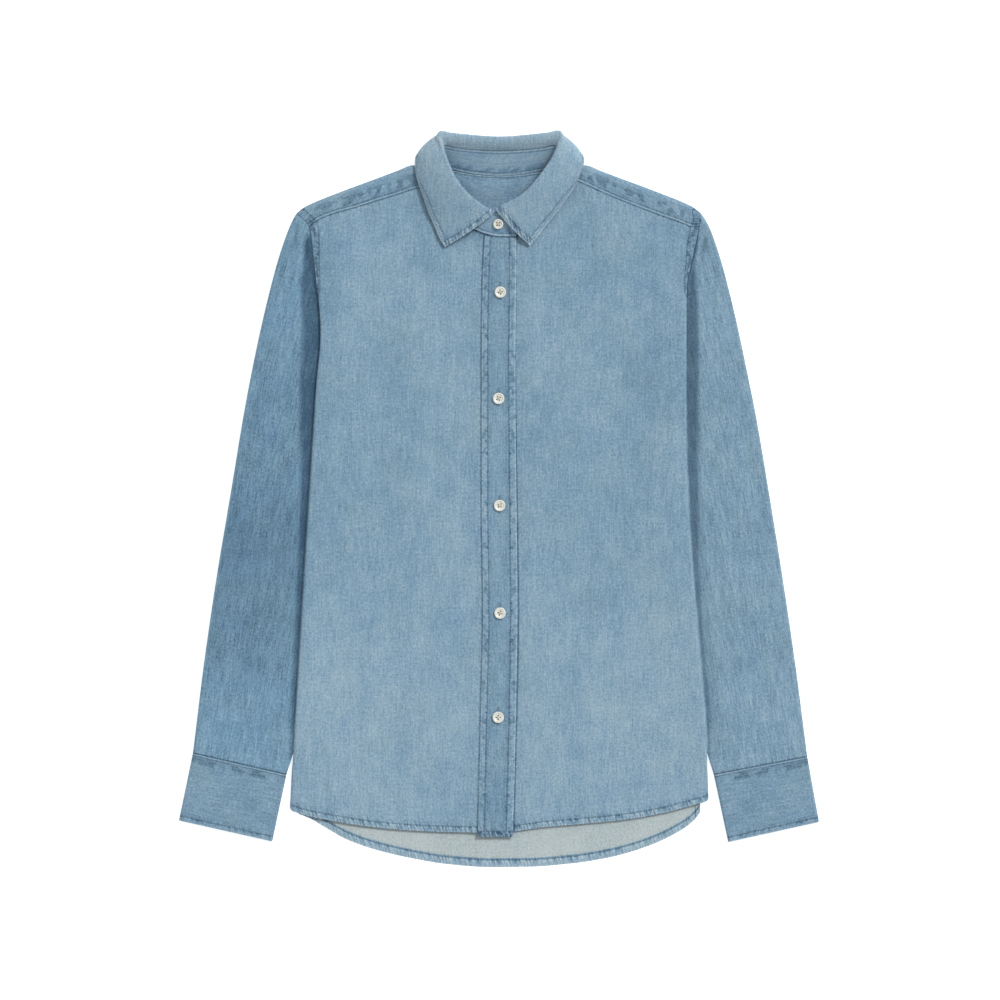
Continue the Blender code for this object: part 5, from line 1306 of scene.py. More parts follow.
def make_collar(finish, sizes):
    on_stand = np.array([row.stand for row in LEAF])
    stand_top = stand_point(on_stand, np.ones(len(on_stand)))
    stand_rise = unit(stand_top - stand_point(on_stand, np.zeros(len(on_stand))))
    roll, mid, edge = (
        surface(*[np.array([getattr(row, f"{part}_{axis}") for row in LEAF]) for axis in "xyz"])
        for part in ("roll", "mid", "edge"))
    bend = np.linalg.norm(np.cross(stand_rise, unit(roll - stand_top)), axis=-1, keepdims=True)
    base = stand_top + stand_rise * (0.1 + bend * DOUBLED / 2.0)
    rise = unit(roll - base)
    around = unit(np.gradient(roll, axis=0))
    out = unit(np.cross(rise, around))
    radius = between(ROLL_RADIUS, BACK_ROLL_RADIUS, ease((roll[:, 1:2] - 342.0) / 12.0))
    centre = roll - rise * radius
    rows = [base]
    end = between(ROLL_END, BACK_ROLL_END, ease((roll[:, 1:2] - 334.0) / 18.0))
    for share in np.linspace(0.0, 1.0, 5):
        turn = np.radians(between(ROLL_START, end, share))
        rows.append(centre + radius * (out * np.sin(turn) + rise * np.cos(turn)))
    fall = rows[-1]
    for share in (0.14, 0.3, 0.48, 0.66, 0.84, 1.0):
        near = between(fall, mid, share)
        far = between(mid, edge, share)
        rows.append(between(near, far, share))
    grid = np.array(rows).transpose(1, 0, 2)
    grid = smoothed(grid, COLLAR_STEPS)
    grid[..., 2] = np.maximum(grid[..., 2], DOUBLED / 2.0 + 0.03)
    normal = grid_normals(grid)
    to_edge = to_end(grid, 1)
    to_front = np.minimum(from_start(grid, 0), to_end(grid, 0))
    brim = np.minimum(to_edge, to_front)
    wall = sizes.collar * (0.72 + 0.28 * ease(brim / 1.6))[..., None]
    wave = 0.3 * ease(1.0 - brim / 7.0) * np.sin(from_start(grid, 0) / 5.2)
    wave = wave + 0.25 * np.exp(-((brim - 3.0) / 1.8) ** 2)
    on_fall = ease((from_start(grid, 1) - 12.0) / 6.0) * (grid[..., 2] > 5.0)
    lifted = normal * (wave * on_fall)[..., None]
    outer, inner = grid + normal * wall / 2.0 + lifted, grid - normal * wall / 2.0 + lifted
    run = seam_place(to_edge / COLLAR_BAND, from_start(grid, 1))
    cross = seam_place(to_front / COLLAR_BAND)
    # A lighter tone over the back of the collar.
    at_back = ease((grid[..., 1] - 330.0) / 20.0)
    seams = seam_map(grid.shape[:2], run, cross, deep=-0.22 * at_back)
    place = np.stack([grid[..., 0], grid[..., 1] + grid[..., 2]], axis=-1)
    piece = cloth_shell("collar_cloth", outer, inner, place, seams, finish)
    clear = (from_start(outer, 0)[:, -1] > COLLAR_BAND) & (to_end(outer, 0)[:, -1] > COLLAR_BAND)
    along_edge = inset_from(outer, "last", COLLAR_BAND)[clear]
    fronts = [inset_from(outer, edge, COLLAR_BAND)[7:-2] for edge in ("top", "foot")]
    return piece, [along_edge] + fronts


# ---- Nodes ----

class Signal:
    """A value in a shader tree. Sums and products of it become nodes of that tree."""

    def __init__(self, wires, socket):
        self.wires, self.socket = wires, socket

    def __add__(self, other):
        return self.wires.math("ADD", self, other)

    def __mul__(self, other):
        return self.wires.math("MULTIPLY", self, other)

    def __sub__(self, other):
        if isinstance(other, Signal):
            return self.wires.math("SUBTRACT", self, other)
        return self + -other

    def __rsub__(self, other):
        return self.wires.math("SUBTRACT", other, self)


class Wires:
    """Puts nodes into one tree and joins them."""

    def __init__(self, tree):
        self.tree = tree

    def node(self, kind, **settings):
        made = self.tree.nodes.new(kind)
        for name, value in settings.items():
            setattr(made, name, value)
        return made

    def feed(self, socket, value):
        value = value.socket if isinstance(value, Signal) else value
        if isinstance(value, bpy.types.NodeSocket):
            self.tree.links.new(value, socket)
        else:
            socket.default_value = value

    def fill(self, sockets, values):
        for label, value in values.items():
            self.feed(sockets[label], value)

    def signals(self, sockets):
        return {socket.name: Signal(self, socket) for socket in sockets}

    def math(self, operation, one, other=0.0, third=0.0):
        made = self.node("ShaderNodeMath", operation=operation)
        for socket, value in zip(made.inputs, (one, other, third)):
            self.feed(socket, value)
        return Signal(self, made.outputs[0])

    def smooth(self, value, low, high, to_low=0.0, to_high=1.0):
        made = self.node("ShaderNodeMapRange", interpolation_type="SMOOTHSTEP")
        self.fill(made.inputs, {"Value": value, "From Min": low, "From Max": high,
                                "To Min": to_low, "To Max": to_high})
        return Signal(self, made.outputs["Result"])

    def noise(self, across, along, seed, detail=2.0, rough=0.5):
        """Noise that swings round zero, from about -0.5 to 0.5."""
        spot = self.node("ShaderNodeCombineXYZ")
        self.fill(spot.inputs, {"X": across, "Y": along, "Z": seed})
        made = self.node("ShaderNodeTexNoise", noise_dimensions="3D")
        self.fill(made.inputs, {"Vector": spot.outputs[0], "Scale": 1.0, "Detail": detail,
                                "Roughness": rough})
        return self.math("SUBTRACT", made.outputs["Fac"], 0.5)

    def mix(self, share, one, other):
        made = self.node("ShaderNodeMix", data_type="RGBA", clamp_factor=True)
        self.fill(made.inputs, {"Factor": share, "A": one, "B": other})
        return made.outputs["Result"]

    def axes(self, vector):
        """The parts of a vector as signals."""
        spot = self.node("ShaderNodeSeparateXYZ")
        self.feed(spot.inputs[0], vector)
        return self.signals(spot.outputs)

    def object_place(self, pace_x, pace_y):
        """A point's place on its piece, across and along, counted in cycles: paces are a metre."""
        place = self.axes(self.node("ShaderNodeTexCoord").outputs["Object"])
        return place["X"] * pace_x, place["Y"] * pace_y


# ---- Stitches, buttonholes and buttons ----

STITCH_LENGTHS = {"Pitch": 0.0026, "Stitch Length": 0.0021, "Thread Thickness": 0.0004}
BUTTONHOLE_LENGTH = 15.0
BUTTONHOLE_OPEN = 0.25    # half of what is left between its two lips
LIP_STITCH, LIP_PITCH = 1.15, 0.55
END_STITCH, END_PITCH, END_HALF = 1.0, 0.5, 1.3
BUTTONHOLE_THREAD = (0.9, 1.0, 0.34)   # pitch, length and thickness of a stitch


def stitch_tree():
    """Puts a stitch at each pitch along every line of a mesh."""
    tree = bpy.data.node_groups.new("Stitch row", "GeometryNodeTree")
    face = tree.interface
    face.new_socket("Lines", in_out="INPUT", socket_type="NodeSocketGeometry")
    for label, value in STITCH_LENGTHS.items():
        socket = face.new_socket(label, in_out="INPUT", socket_type="NodeSocketFloat")
        socket.subtype = "DISTANCE"
        socket.default_value = value
    face.new_socket("Thread", in_out="INPUT", socket_type="NodeSocketMaterial")
    face.new_socket("Stitches", in_out="OUTPUT", socket_type="NodeSocketGeometry")
    wires = Wires(tree)
    given, made = wires.node("NodeGroupInput").outputs, wires.node("NodeGroupOutput").inputs
    curve = wires.node("GeometryNodeMeshToCurve")
    wires.feed(curve.inputs["Mesh"], given["Lines"])
    points = wires.node("GeometryNodeCurveToPoints", mode="LENGTH")
    wires.fill(points.inputs, {"Curve": curve.outputs["Curve"], "Length": given["Pitch"]})
    ball = wires.node("GeometryNodeMeshUVSphere")
    wires.fill(ball.inputs, {"Segments": 6, "Rings": 4, "Radius": 0.5})
    size = wires.node("ShaderNodeCombineXYZ")
    wires.fill(size.inputs, {"X": given["Stitch Length"], "Y": given["Thread Thickness"],
                             "Z": given["Thread Thickness"]})
    turn = wires.node("FunctionNodeAlignRotationToVector", axis="X")
    wires.feed(turn.inputs["Vector"], points.outputs["Tangent"])
    put = wires.node("GeometryNodeInstanceOnPoints")
    wires.fill(put.inputs, {"Points": points.outputs["Points"], "Instance": ball.outputs["Mesh"],
                            "Rotation": turn.outputs["Rotation"], "Scale": size.outputs["Vector"]})
    real = wires.node("GeometryNodeRealizeInstances")
    wires.feed(real.inputs["Geometry"], put.outputs["Instances"])
    finish = wires.node("GeometryNodeSetMaterial")
    wires.fill(finish.inputs, {"Geometry": real.outputs["Geometry"], "Material": given["Thread"]})
    wires.feed(made["Stitches"], finish.outputs["Geometry"])
    return tree


def sew(name, lines, thread, slot_name, pitch, length, thickness):
    """Stitches along lines of points, as one plain mesh."""
    tree = bpy.data.node_groups.get("Stitch row") or stitch_tree()
    lowest = (-math.inf, -math.inf, 0.7 * thickness)
    points, edges = [], []
    for line in lines:
        start = len(points)
        points += [tuple(point) for point in np.maximum(line, lowest) * MM]
        edges += [(i, i + 1) for i in range(start, len(points) - 1)]
    mesh = bpy.data.meshes.new(f"{name}_lines")
    mesh.from_pydata(points, edges, [])
    holder = put_in_scene(f"{name}_lines", mesh)
    rows = holder.modifiers.new("stitches", "NODES")
    rows.node_group = tree
    values = {"Pitch": pitch * MM, "Stitch Length": length * MM,
              "Thread Thickness": thickness * MM, "Thread": thread}
    for item in tree.interface.items_tree:
        if item.name in values and item.in_out == "INPUT":
            rows[item.identifier] = values[item.name]
    sewn = as_shown(holder)
    sewn.name = name
    sewn.shade_smooth()
    piece = put_in_scene(name, sewn)
    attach(piece, "root")
    return piece


def buttonhole_lines(x, y, z):
    """Short lines side by side down both lips of a buttonhole, and across its two ends."""
    across, along, _ = np.eye(3)
    middle = np.array([x, y, z])
    half = BUTTONHOLE_LENGTH / 2.0
    lines = []
    for way in (-1.0, 1.0):
        for step in np.arange(-half, half, LIP_PITCH):
            start = middle + along * step + across * way * BUTTONHOLE_OPEN
            lines.append(np.array([start, start + across * way * LIP_STITCH]))
    for way in (-1.0, 1.0):
        for step in np.arange(-END_HALF, END_HALF + 0.1, END_PITCH):
            start = middle + along * way * half + across * step
            lines.append(np.array([start, start + along * way * END_STITCH]))
    return lines


BUTTON_CLEAR, COLLAR_BUTTON_CLEAR = 0.25, 0.36   # how far a button's foot stands off the cloth
HOLE_ABOVE_BUTTON = 1.2
BUTTON_SIDES = 48
BUTTON_FOOT, BUTTON_DISH = 0.05, 1.62   # heights of its two faces in the middle
# A button's outline from its underside round the rim and into the dish.
BUTTON_OUTLINE = table(
    "in_from_rim up",
    (1.6, 0.05), (0.7, 0.25), (0.1, 0.8), (0.0, 1.2), (0.08, 1.75), (0.4, 2.2), (0.85, 2.38),
    (1.3, 2.3), (1.75, 1.95), (2.3, 1.68), (3.2, 1.6),
)
BUTTON_SHARP = 38.0    # degrees between faces from which an edge is shaded sharp
HOLE_SIDES = 20
STRAND_SIDES = 6
STRAND_RADIUS = 0.17
STRANDS_ASIDE = (-0.28, 0.0, 0.28)
STRAND_LOW, STRAND_RISE = 0.4, 1.75


def button_shape(diameter, pearl):
    """A turned button with a raised rim, a soft dish and four holes right through it."""
    turns = [2.0 * math.pi * step / BUTTON_SIDES for step in range(BUTTON_SIDES)]
    work = bmesh.new()
    lines = [[work.verts.new((0.0, 0.0, BUTTON_FOOT * MM))]]
    for line in BUTTON_OUTLINE:
        out, up = (diameter / 2.0 - line.in_from_rim) * MM, line.up * MM
        lines.append([work.verts.new((out * math.cos(t), out * math.sin(t), up)) for t in turns])
    lines.append([work.verts.new((0.0, 0.0, BUTTON_DISH * MM))])
    for low, high in zip(lines, lines[1:]):
        for step in range(BUTTON_SIDES):
            after = (step + 1) % BUTTON_SIDES
            ring = [low[0]] if len(low) == 1 else [low[step], low[after]]
            ring += [high[0]] if len(high) == 1 else [high[after], high[step]]
            work.faces.new(ring)
    bmesh.ops.recalc_face_normals(work, faces=work.faces)
    solid = put_in_scene("button_disc", finished_mesh("button_disc", work))
    drills = bmesh.new()
    hole = BUTTON_HOLE_DIAMETER / 2.0 * MM
    for turn in range(4):
        angle = math.pi * (0.25 + 0.5 * turn)
        spot = Vector((math.cos(angle), math.sin(angle), 0.0))
        spot = spot * BUTTON_HOLE_SPACING / math.sqrt(2.0) * MM
        spot.z = BUTTON_THICKNESS * MM / 2.0
        bmesh.ops.create_cone(drills, cap_ends=True, segments=HOLE_SIDES, radius1=hole,
                              radius2=hole, depth=3.0 * BUTTON_THICKNESS * MM,
                              matrix=Matrix.Translation(spot))
    holes = put_in_scene("button_drills", finished_mesh("button_drills", drills))
    cut = solid.modifiers.new("holes", "BOOLEAN")
    cut.operation = "DIFFERENCE"
    cut.object = holes
    shaped = as_shown(solid)
    bpy.data.objects.remove(holes)
    shaped.materials.clear()
    shaped.materials.append(pearl)
    shaped.shade_smooth()
    shaped.set_sharp_from_angle(angle=math.radians(BUTTON_SHARP))
    return shaped


def button_places():
    """Each button's row in the table, with its diameter and where and how it is turned."""
    places = []
    for count, spot in enumerate(FRONT_BUTTONS):
        stands = Matrix.Translation((spot.x * MM, spot.y * MM, (PLACKET_TOP + BUTTON_CLEAR) * MM))
        turned = Matrix.Rotation(0.35 * count - 0.6, 4, "Z")
        places.append((spot, BUTTON_DIAMETER, stands @ turned))
    low, high = stand_point(0.10, 0.0), stand_point(0.10, 1.0)
    tilt = math.atan2(high[2] - low[2], high[1] - low[1])
    share = (COLLAR_BUTTON.y - low[1]) / (high[1] - low[1])
    lift = DOUBLED / 2.0 + COLLAR_BUTTON_CLEAR
    stands = Vector((COLLAR_BUTTON.x, COLLAR_BUTTON.y - lift * math.sin(tilt),
                     between(low[2], high[2], share) + lift * math.cos(tilt))) * MM
    turned = Matrix.Rotation(tilt, 4, "X")
    return places + [(COLLAR_BUTTON, COLLAR_BUTTON_DIAMETER, Matrix.Translation(stands) @ turned)]


def button_strands(matrix):
    """Lines of thread that cross over a button, three from each hole to the opposite one."""
    reach = BUTTON_HOLE_SPACING / 2.0
    strands = []
    for to_x, to_y in ((1, 1), (1, -1)):
        for aside in STRANDS_ASIDE:
            slide = Vector((to_y, -to_x, 0.0)) * aside / math.sqrt(2.0)
            line = []
            for step in np.linspace(-1.0, 1.0, 9):
                rise = STRAND_LOW + STRAND_RISE * (1.0 - abs(step) ** 5)
                point = Vector((to_x * reach * step, to_y * reach * step, rise)) + slide
                line.append(np.array(matrix @ (point * MM)) / MM)
            strands.append(np.array(line))
    return strands


def tube_mesh(name, lines, radius, material):
    """Round strands that follow lines of points."""
    turns = [2.0 * math.pi * step / STRAND_SIDES for step in range(STRAND_SIDES)]
    work = bmesh.new()
    for line in lines:
        ahead = unit(np.gradient(line, axis=0))
        aside = unit(np.cross(ahead, np.array([0.0, 0.0, 1.0]) + 1e-4))
        above = np.cross(aside, ahead)
        rings = []
        for point, one, other in zip(line, aside, above):
            round_it = [point + radius * (one * math.cos(t) + other * math.sin(t)) for t in turns]
            rings.append([work.verts.new(spot * MM) for spot in round_it])
        for near, far in zip(rings, rings[1:]):
            for step in range(STRAND_SIDES):
                after = (step + 1) % STRAND_SIDES
                work.faces.new((near[step], near[after], far[after], far[step]))
        work.faces.new(rings[0][::-1])
        work.faces.new(rings[-1])
    bmesh.ops.recalc_face_normals(work, faces=work.faces)
    mesh = finished_mesh(name, work)
    mesh.shade_smooth()
    mesh.materials.append(material)
    return put_in_scene(name, mesh)


def make_buttons(pearl, cotton):
    lines = []
    for spot, diameter, matrix in button_places():
        mesh = button_shape(diameter, pearl)
        mesh.transform(matrix)
        wear(put_in_scene(f"{spot.name}_pearl", mesh), spot.name)
        lines += button_strands(matrix)
    strands = tube_mesh("button_thread", lines, STRAND_RADIUS, cotton)
    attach(strands, "root")


# ---- Materials ----

def new_finish(name):
    """A new material, the wires of its tree, and what its shader takes."""
    material = bpy.data.materials.new(name)
    material.use_nodes = True
    shader = material.node_tree.nodes["Principled BSDF"]
    return material, Wires(material.node_tree), shader.inputs


def solid_colour(channels):
    return tuple(channels) + (1.0,)


def new_group(name, inputs, outputs):
    """A shader group: its inputs as signals, and what it puts out."""
    tree = bpy.data.node_groups.new(name, "ShaderNodeTree")
    for label, value in inputs.items():
        kind = "NodeSocketFloat" if isinstance(value, float) else "NodeSocketColor"
        tree.interface.new_socket(label, in_out="INPUT", socket_type=kind).default_value = value
    for label, kind in outputs.items():
        tree.interface.new_socket(label, in_out="OUTPUT", socket_type=kind)
    given, made = tree.nodes.new("NodeGroupInput"), tree.nodes.new("NodeGroupOutput")
    wires = Wires(tree)
    return wires, wires.signals(given.outputs), made.inputs


def seam_wear_group():
    """Roping, fading and puckers along a seam, at a place that seam_place gives, with a painted
    shadow on the cloth beside its edge. Lengths from the seam are in millimetres: inward from its
    own edge, past from its needle line, and aside from the seam on the cloth that it is sewn to."""
    wires, given, made = new_group(
        "Seam wear",
        {"Place": FAR, "Along": 0.0, "Seed": 0.0, "Band": 6.0, "Rope": 1.0, "Blobs": 1.0,
         "Lift": 0.0, "Edge": 0.2},
        {"Tone": "NodeSocketFloat", "Height": "NodeSocketFloat"})
    place, along, seed, band = (given[label] for label in ("Place", "Along", "Seed", "Band"))
    inward = place * band
    aside = (BESIDE - place) * BESIDE_STEP
    past = inward - band
    rope = wires.noise(along * 0.42 + place * 0.8, place * 0.5, seed, 1.0)
    rope = wires.smooth(rope, -0.14, 0.14, -1.0, 1.0)
    small = wires.noise(along * 0.62, inward * 0.3, seed + 7.0)
    blob = wires.smooth(wires.noise(along * 0.14, inward * 0.17, seed + 3.0, 1.0), 0.0, 0.12)
    in_band = wires.smooth(place, 0.92, 1.04, 1.0, 0.0)
    beyond = wires.smooth(past, 0.2, 0.8) * wires.smooth(past, 1.0, 7.0, 1.0, 0.0)
    beside = wires.smooth(aside, 0.8, 1.4) * wires.smooth(aside, 1.5, 9.0, 1.0, 0.0)
    edge = wires.smooth(inward, 0.1, 0.4) * wires.smooth(inward, 0.9, 1.7, 1.0, 0.0)
    needle = wires.smooth(wires.math("ABSOLUTE", past), 0.25, 1.15, 1.0, 0.0)
    # A painted shadow on the cloth that the seam is sewn to, right beside the seam's edge.
    gap_painted_shadow = wires.smooth(aside, 0.8, 1.9, 1.0, 0.0)
    roped = rope * given["Rope"]
    near_needle = wires.smooth(place, 0.3, 0.9) * 0.1 + 0.06
    wires.fill(made, {
        "Tone": in_band * (roped * near_needle + small * 0.3 + given["Lift"])
                + in_band * blob * given["Blobs"] * -0.22
                + beyond * (roped * 0.06 + small * 0.16 - 0.06)
                + beside * (rope * 0.05 + small * 0.14)
                + edge * (roped * 0.06 + given["Edge"])
                + needle * (small * 0.4 + roped * 0.08 - 0.26)
                + gap_painted_shadow * -0.38,
        "Height": in_band * (roped * 0.17 + small * 0.2 + 0.3) + beyond * (roped * 0.1)
                  + beside * (rope * 0.1) + needle * -0.22})


# Noise of the washed cloth: its cycles a millimetre across and along, and its seed and grain.
DENIM_NOISE = table(
    "name across along seed detail rough",
    ("streak", 0.66, 0.055, 3.1, 3.0, 0.62), ("broad", 0.16, 0.012, 9.7, 2.0, 0.5),
    ("weft", 0.07, 0.85, 17.3, 2.0, 0.5), ("grain", 1.1, 0.7, 23.9, 2.0, 0.5),
    ("mottle", 0.017, 0.012, 31.4, 3.0, 0.5), ("cloud", 0.06, 0.045, 41.2, 2.0, 0.5),
    ("speck", 0.5, 0.4, 67.1, 2.0, 0.7), ("hue", 0.03, 0.022, 77.9, 2.0, 0.5),
    ("blob", 0.12, 0.125, 57.7, 1.0, 0.3),
)


def washed_denim_group():
    """Slubs along the warp, mottling, seams, twill and painted shade. Lengths come in millimetres.
    """
    wires, given, made = new_group(
        "Washed denim",
        {"Across": 0.0, "Along": 0.0, "Seam Tone": 0.0, "Seam Height": 0.0, "Blotch": 0.0,
         "Deep": 0.0, "Tone": 0.5, "Streaks": 1.0, "Dark": (0.05, 0.1, 0.16, 1.0),
         "Middle": (0.2, 0.3, 0.4, 1.0), "Light": (0.4, 0.5, 0.55, 1.0)},
        {"Colour": "NodeSocketColor", "Height": "NodeSocketFloat"})
    across, along, deep = given["Across"], given["Along"], given["Deep"]
    streak, broad, weft, grain, mottle, cloud, speck, hue, blob = (
        wires.noise(across * row.across, along * row.along, row.seed, row.detail, row.rough)
        for row in DENIM_NOISE)
    blob = wires.smooth(blob, -0.04, 0.08) * given["Blotch"]
    fine = (given["Streaks"] * (streak * 0.5 + broad * 0.14) + weft * 0.16 + grain * 0.5
            + speck * 0.7)
    # The fourth channel darkens the cloth: painted shade by the body, under the collar, in small
    # folds, and tone.
    tone = (given["Tone"] + fine * wires.smooth(deep, 0.1, 0.5, 1.0, 0.5) + mottle * 0.24
            + cloud * 0.2 + given["Seam Tone"] + blob * -0.24 + deep * -0.5)
    shade = wires.node("ShaderNodeHueSaturation")
    wires.fill(shade.inputs, {"Hue": hue * 0.02 + 0.5, "Saturation": hue * 0.28 + 1.0,
                              "Color": given["Middle"]})
    low = wires.mix(tone * 2.0, given["Dark"], shade.outputs["Color"])
    twill = wires.math("SINE", across * 8.4 + along * 4.6)
    wires.fill(made, {
        "Colour": wires.mix(tone * 2.0 - 1.0, low, given["Light"]),
        "Height": twill * 0.018 + streak * 0.16 + grain * 0.14 + weft * 0.1 + cloud * 0.5
                  + mottle * 0.8 + given["Seam Height"] + blob * -0.1})


# How a seam has worn: its band's width in millimetres, how strongly it is roped and blotched, its
# band's own tone, and the light at its edge.
Worn = namedtuple("Worn", "band rope blobs lift edge")
PLAIN_SEAM = Worn(6.0, 0.6, 0.3, 0.0, 0.1)


def denim(name, tone, colours, run, cross, streaks=1.0, both_along=False):
    """A denim of the given tone, 0.5 being the middle colour, with its two kinds of seams."""
    if "Seam wear" not in bpy.data.node_groups:
        seam_wear_group()
        washed_denim_group()
    material, wires, shader = new_finish(name)
    place = wires.axes(wires.node("ShaderNodeUVMap", uv_map="cloth").outputs["UV"])
    across, along = place["X"] * (1.0 / MM), place["Y"] * (1.0 / MM)
    seams = wires.node("ShaderNodeAttribute", attribute_type="GEOMETRY", attribute_name="seams")
    parts = wires.axes(seams.outputs["Vector"])
    worn = []
    for axis, length, style, seed in (("X", along, run, 1.0),
                                      ("Y", along if both_along else across, cross, 5.0)):
        node = wires.node("ShaderNodeGroup", node_tree=bpy.data.node_groups["Seam wear"])
        wires.fill(node.inputs, {"Place": parts[axis], "Along": length, "Seed": seed})
        wires.fill(node.inputs, {"Band": style.band, "Rope": style.rope, "Blobs": style.blobs,
                                 "Lift": style.lift, "Edge": style.edge})
        worn.append(wires.signals(node.outputs))
    group = wires.node("ShaderNodeGroup", node_tree=bpy.data.node_groups["Washed denim"])
    wires.fill(group.inputs, {
        "Across": across, "Along": along, "Blotch": parts["Z"], "Deep": seams.outputs["Alpha"],
        "Seam Tone": worn[0]["Tone"] + worn[1]["Tone"],
        "Seam Height": worn[0]["Height"] + worn[1]["Height"], "Tone": tone, "Streaks": streaks})
    wires.fill(group.inputs, dict(zip(("Dark", "Middle", "Light"), map(solid_colour, colours))))
    bump = wires.node("ShaderNodeBump")
    wires.fill(bump.inputs, {"Strength": 1.0, "Distance": MM, "Height": group.outputs["Height"]})
    wires.fill(shader, {"Base Color": group.outputs["Colour"], "Normal": bump.outputs["Normal"],
                        "Roughness": 0.92, "Specular IOR Level": 0.18, "Sheen Weight": 0.12,
                        "Sheen Roughness": 0.6})
    return material


def thread_finish(name, colour):
    """Sewing thread, a little darker and lighter along its rows."""
    material, wires, shader = new_finish(name)
    fade = wires.noise(*wires.object_place(260.0, 260.0), 2.0)
    darker, lighter = (solid_colour(channel * scale for channel in colour) for scale in (0.62, 1.3))
    wires.fill(shader, {"Base Color": wires.mix(fade * 2.0 + 0.5, darker, lighter),
                        "Roughness": 0.8, "Sheen Weight": 0.1})
    return material


def blue_thread():
    """The thread of all seams, made once."""
    colours = bpy.context.scene.shirt_colours
    return bpy.data.materials.get("Blue thread") or thread_finish("Blue thread", colours.thread)


def pearl_finish(name, colour):
    """Satin pearl with a soft, warmer cloud in it."""
    material, wires, shader = new_finish(name)
    cloud = wires.noise(*wires.object_place(420.0, 260.0), 4.0, 3.0)
    warm = solid_colour(channel * scale for channel, scale in zip(colour, (0.86, 0.84, 0.76)))
    wires.fill(shader, {
        "Base Color": wires.mix(wires.smooth(cloud, -0.2, 0.2), warm, solid_colour(colour)),
        "Roughness": cloud * 0.12 + 0.3, "Coat Weight": 0.25, "Coat Roughness": 0.18,
        "Subsurface Weight": 0.0})
    return material


# ---- Properties ----

def colour_property(label, what, default):
    return bpy.props.FloatVectorProperty(name=label, description=what, default=default, size=3,
                                         min=0.0, max=1.0, subtype="COLOR")


def length_property(label, what, default, least, most):
    """A length, given here in millimetres and kept in metres."""
    return bpy.props.FloatProperty(name=label, description=what, default=default * MM,
                                   min=least * MM, max=most * MM, precision=5,
                                   subtype="DISTANCE", unit="LENGTH")


class ShirtSizes(bpy.types.PropertyGroup):
    """Sizes of the cloth and its sewing."""
    cloth: length_property("Cloth", "Thickness of one ply", 0.65, 0.3, 1.1)
    collar: length_property("Collar", "Thickness of the collar leaf", 1.8, 1.0, 2.0)
    stand: length_property("Stand", "Thickness of the collar stand", 1.8, 1.0, 2.0)
    stitch_pitch: length_property("Stitch pitch", "From one stitch to the next", 2.7, 1.5, 5.0)
    stitch_length: length_property("Stitch length", "Length of a stitch", 2.2, 1.0, 4.5)
    thread: length_property("Thread", "Thickness of the sewing thread", 0.36, 0.2, 0.8)


class ShirtColours(bpy.types.PropertyGroup):
    """Colours of the cloth, the thread and the buttons."""
    dark: colour_property("Unfaded denim", "Where the dye is left", (0.040, 0.087, 0.140))
    middle: colour_property("Washed denim", "Most of the cloth", (0.189, 0.311, 0.416))
    light: colour_property("Faded denim", "Slubs and worn edges", (0.420, 0.535, 0.590))
    inside_dark: colour_property("Inside, dark", "Darkest yarns inside", (0.190, 0.255, 0.290))
    inside_middle: colour_property("Inside", "The pale wrong side", (0.420, 0.490, 0.500))
    inside_light: colour_property("Inside, light", "Palest yarns inside", (0.600, 0.640, 0.630))
    thread: colour_property("Thread", "Sewing thread", (0.150, 0.245, 0.335))
    pearl: colour_property("Pearl", "The buttons", (0.760, 0.775, 0.735))
    cotton: colour_property("Button thread", "Thread that holds the buttons", (0.560, 0.500, 0.400))


Sizes = namedtuple("Sizes", "cloth collar stand stitch_pitch stitch_length thread")


def sizes_in_mm():
    """The sizes of the property group, in millimetres."""
    given = bpy.context.scene.shirt_sizes
    return Sizes(*(round(getattr(given, name) / MM, 4) for name in Sizes._fields))


def outside(label, tone, run=PLAIN_SEAM, cross=PLAIN_SEAM, both_along=False, streaks=1.0,
            tint=(1.0, 1.0, 1.0)):
    """The blue face of the cloth, built once."""
    if label in bpy.data.materials:
        return bpy.data.materials[label]
    given = bpy.context.scene.shirt_colours
    colours = [np.multiply(shade, tint) for shade in (given.dark, given.middle, given.light)]
    return denim(label, tone, colours, run, cross, streaks, both_along)


def inside():
    """The pale wrong side of the cloth, built once."""
    if "Inside denim" in bpy.data.materials:
        return bpy.data.materials["Inside denim"]
    given = bpy.context.scene.shirt_colours
    colours = (given.inside_dark, given.inside_middle, given.inside_light)
    return denim("Inside denim", 0.5, colours, PLAIN_SEAM, PLAIN_SEAM, 0.55)


def dress(made, node, slot_name):
    piece, lines = made
    sizes = sizes_in_mm()
    wear(piece, node)
    sewn = []
    if lines:
        sewn = [sew(f"{node}_stitches", lines, blue_thread(), slot_name, sizes.stitch_pitch,
                    sizes.stitch_length, sizes.thread)]


# ---- Operators ----

class SHIRT_OT_back(bpy.types.Operator):
    """Make the back, with its hem turned to the inside"""
    bl_idname = "shirt.make_back"
    bl_label = "Back"

    def execute(self, context):
        hem = Worn(HEM_WIDTH, 1.3, 0.3, 0.2, 0.1)
        finish = (outside("Back denim", 0.5, PLAIN_SEAM, hem), inside())
        dress(make_back(finish, sizes_in_mm()), "back", "back_denim")
        return {"FINISHED"}


class SHIRT_OT_yoke(bpy.types.Operator):
    """Make the yoke, over both shoulders from the back to the fronts"""
    bl_idname = "shirt.make_yoke"
    bl_label = "Yoke"

    def execute(self, context):
        seam = Worn(YOKE_BAND, 0.3, 0.0, 0.04, 0.08)
        armhole = Worn(ARMHOLE_BAND, 0.6, 1.0, -0.12, 0.0)
        finish = (outside("Yoke denim", 0.51, seam, armhole),
                  outside("Yoke inside denim", 0.52, seam, armhole))
        dress(make_yoke(finish, sizes_in_mm()), "yoke", "yoke_denim")
        return {"FINISHED"}


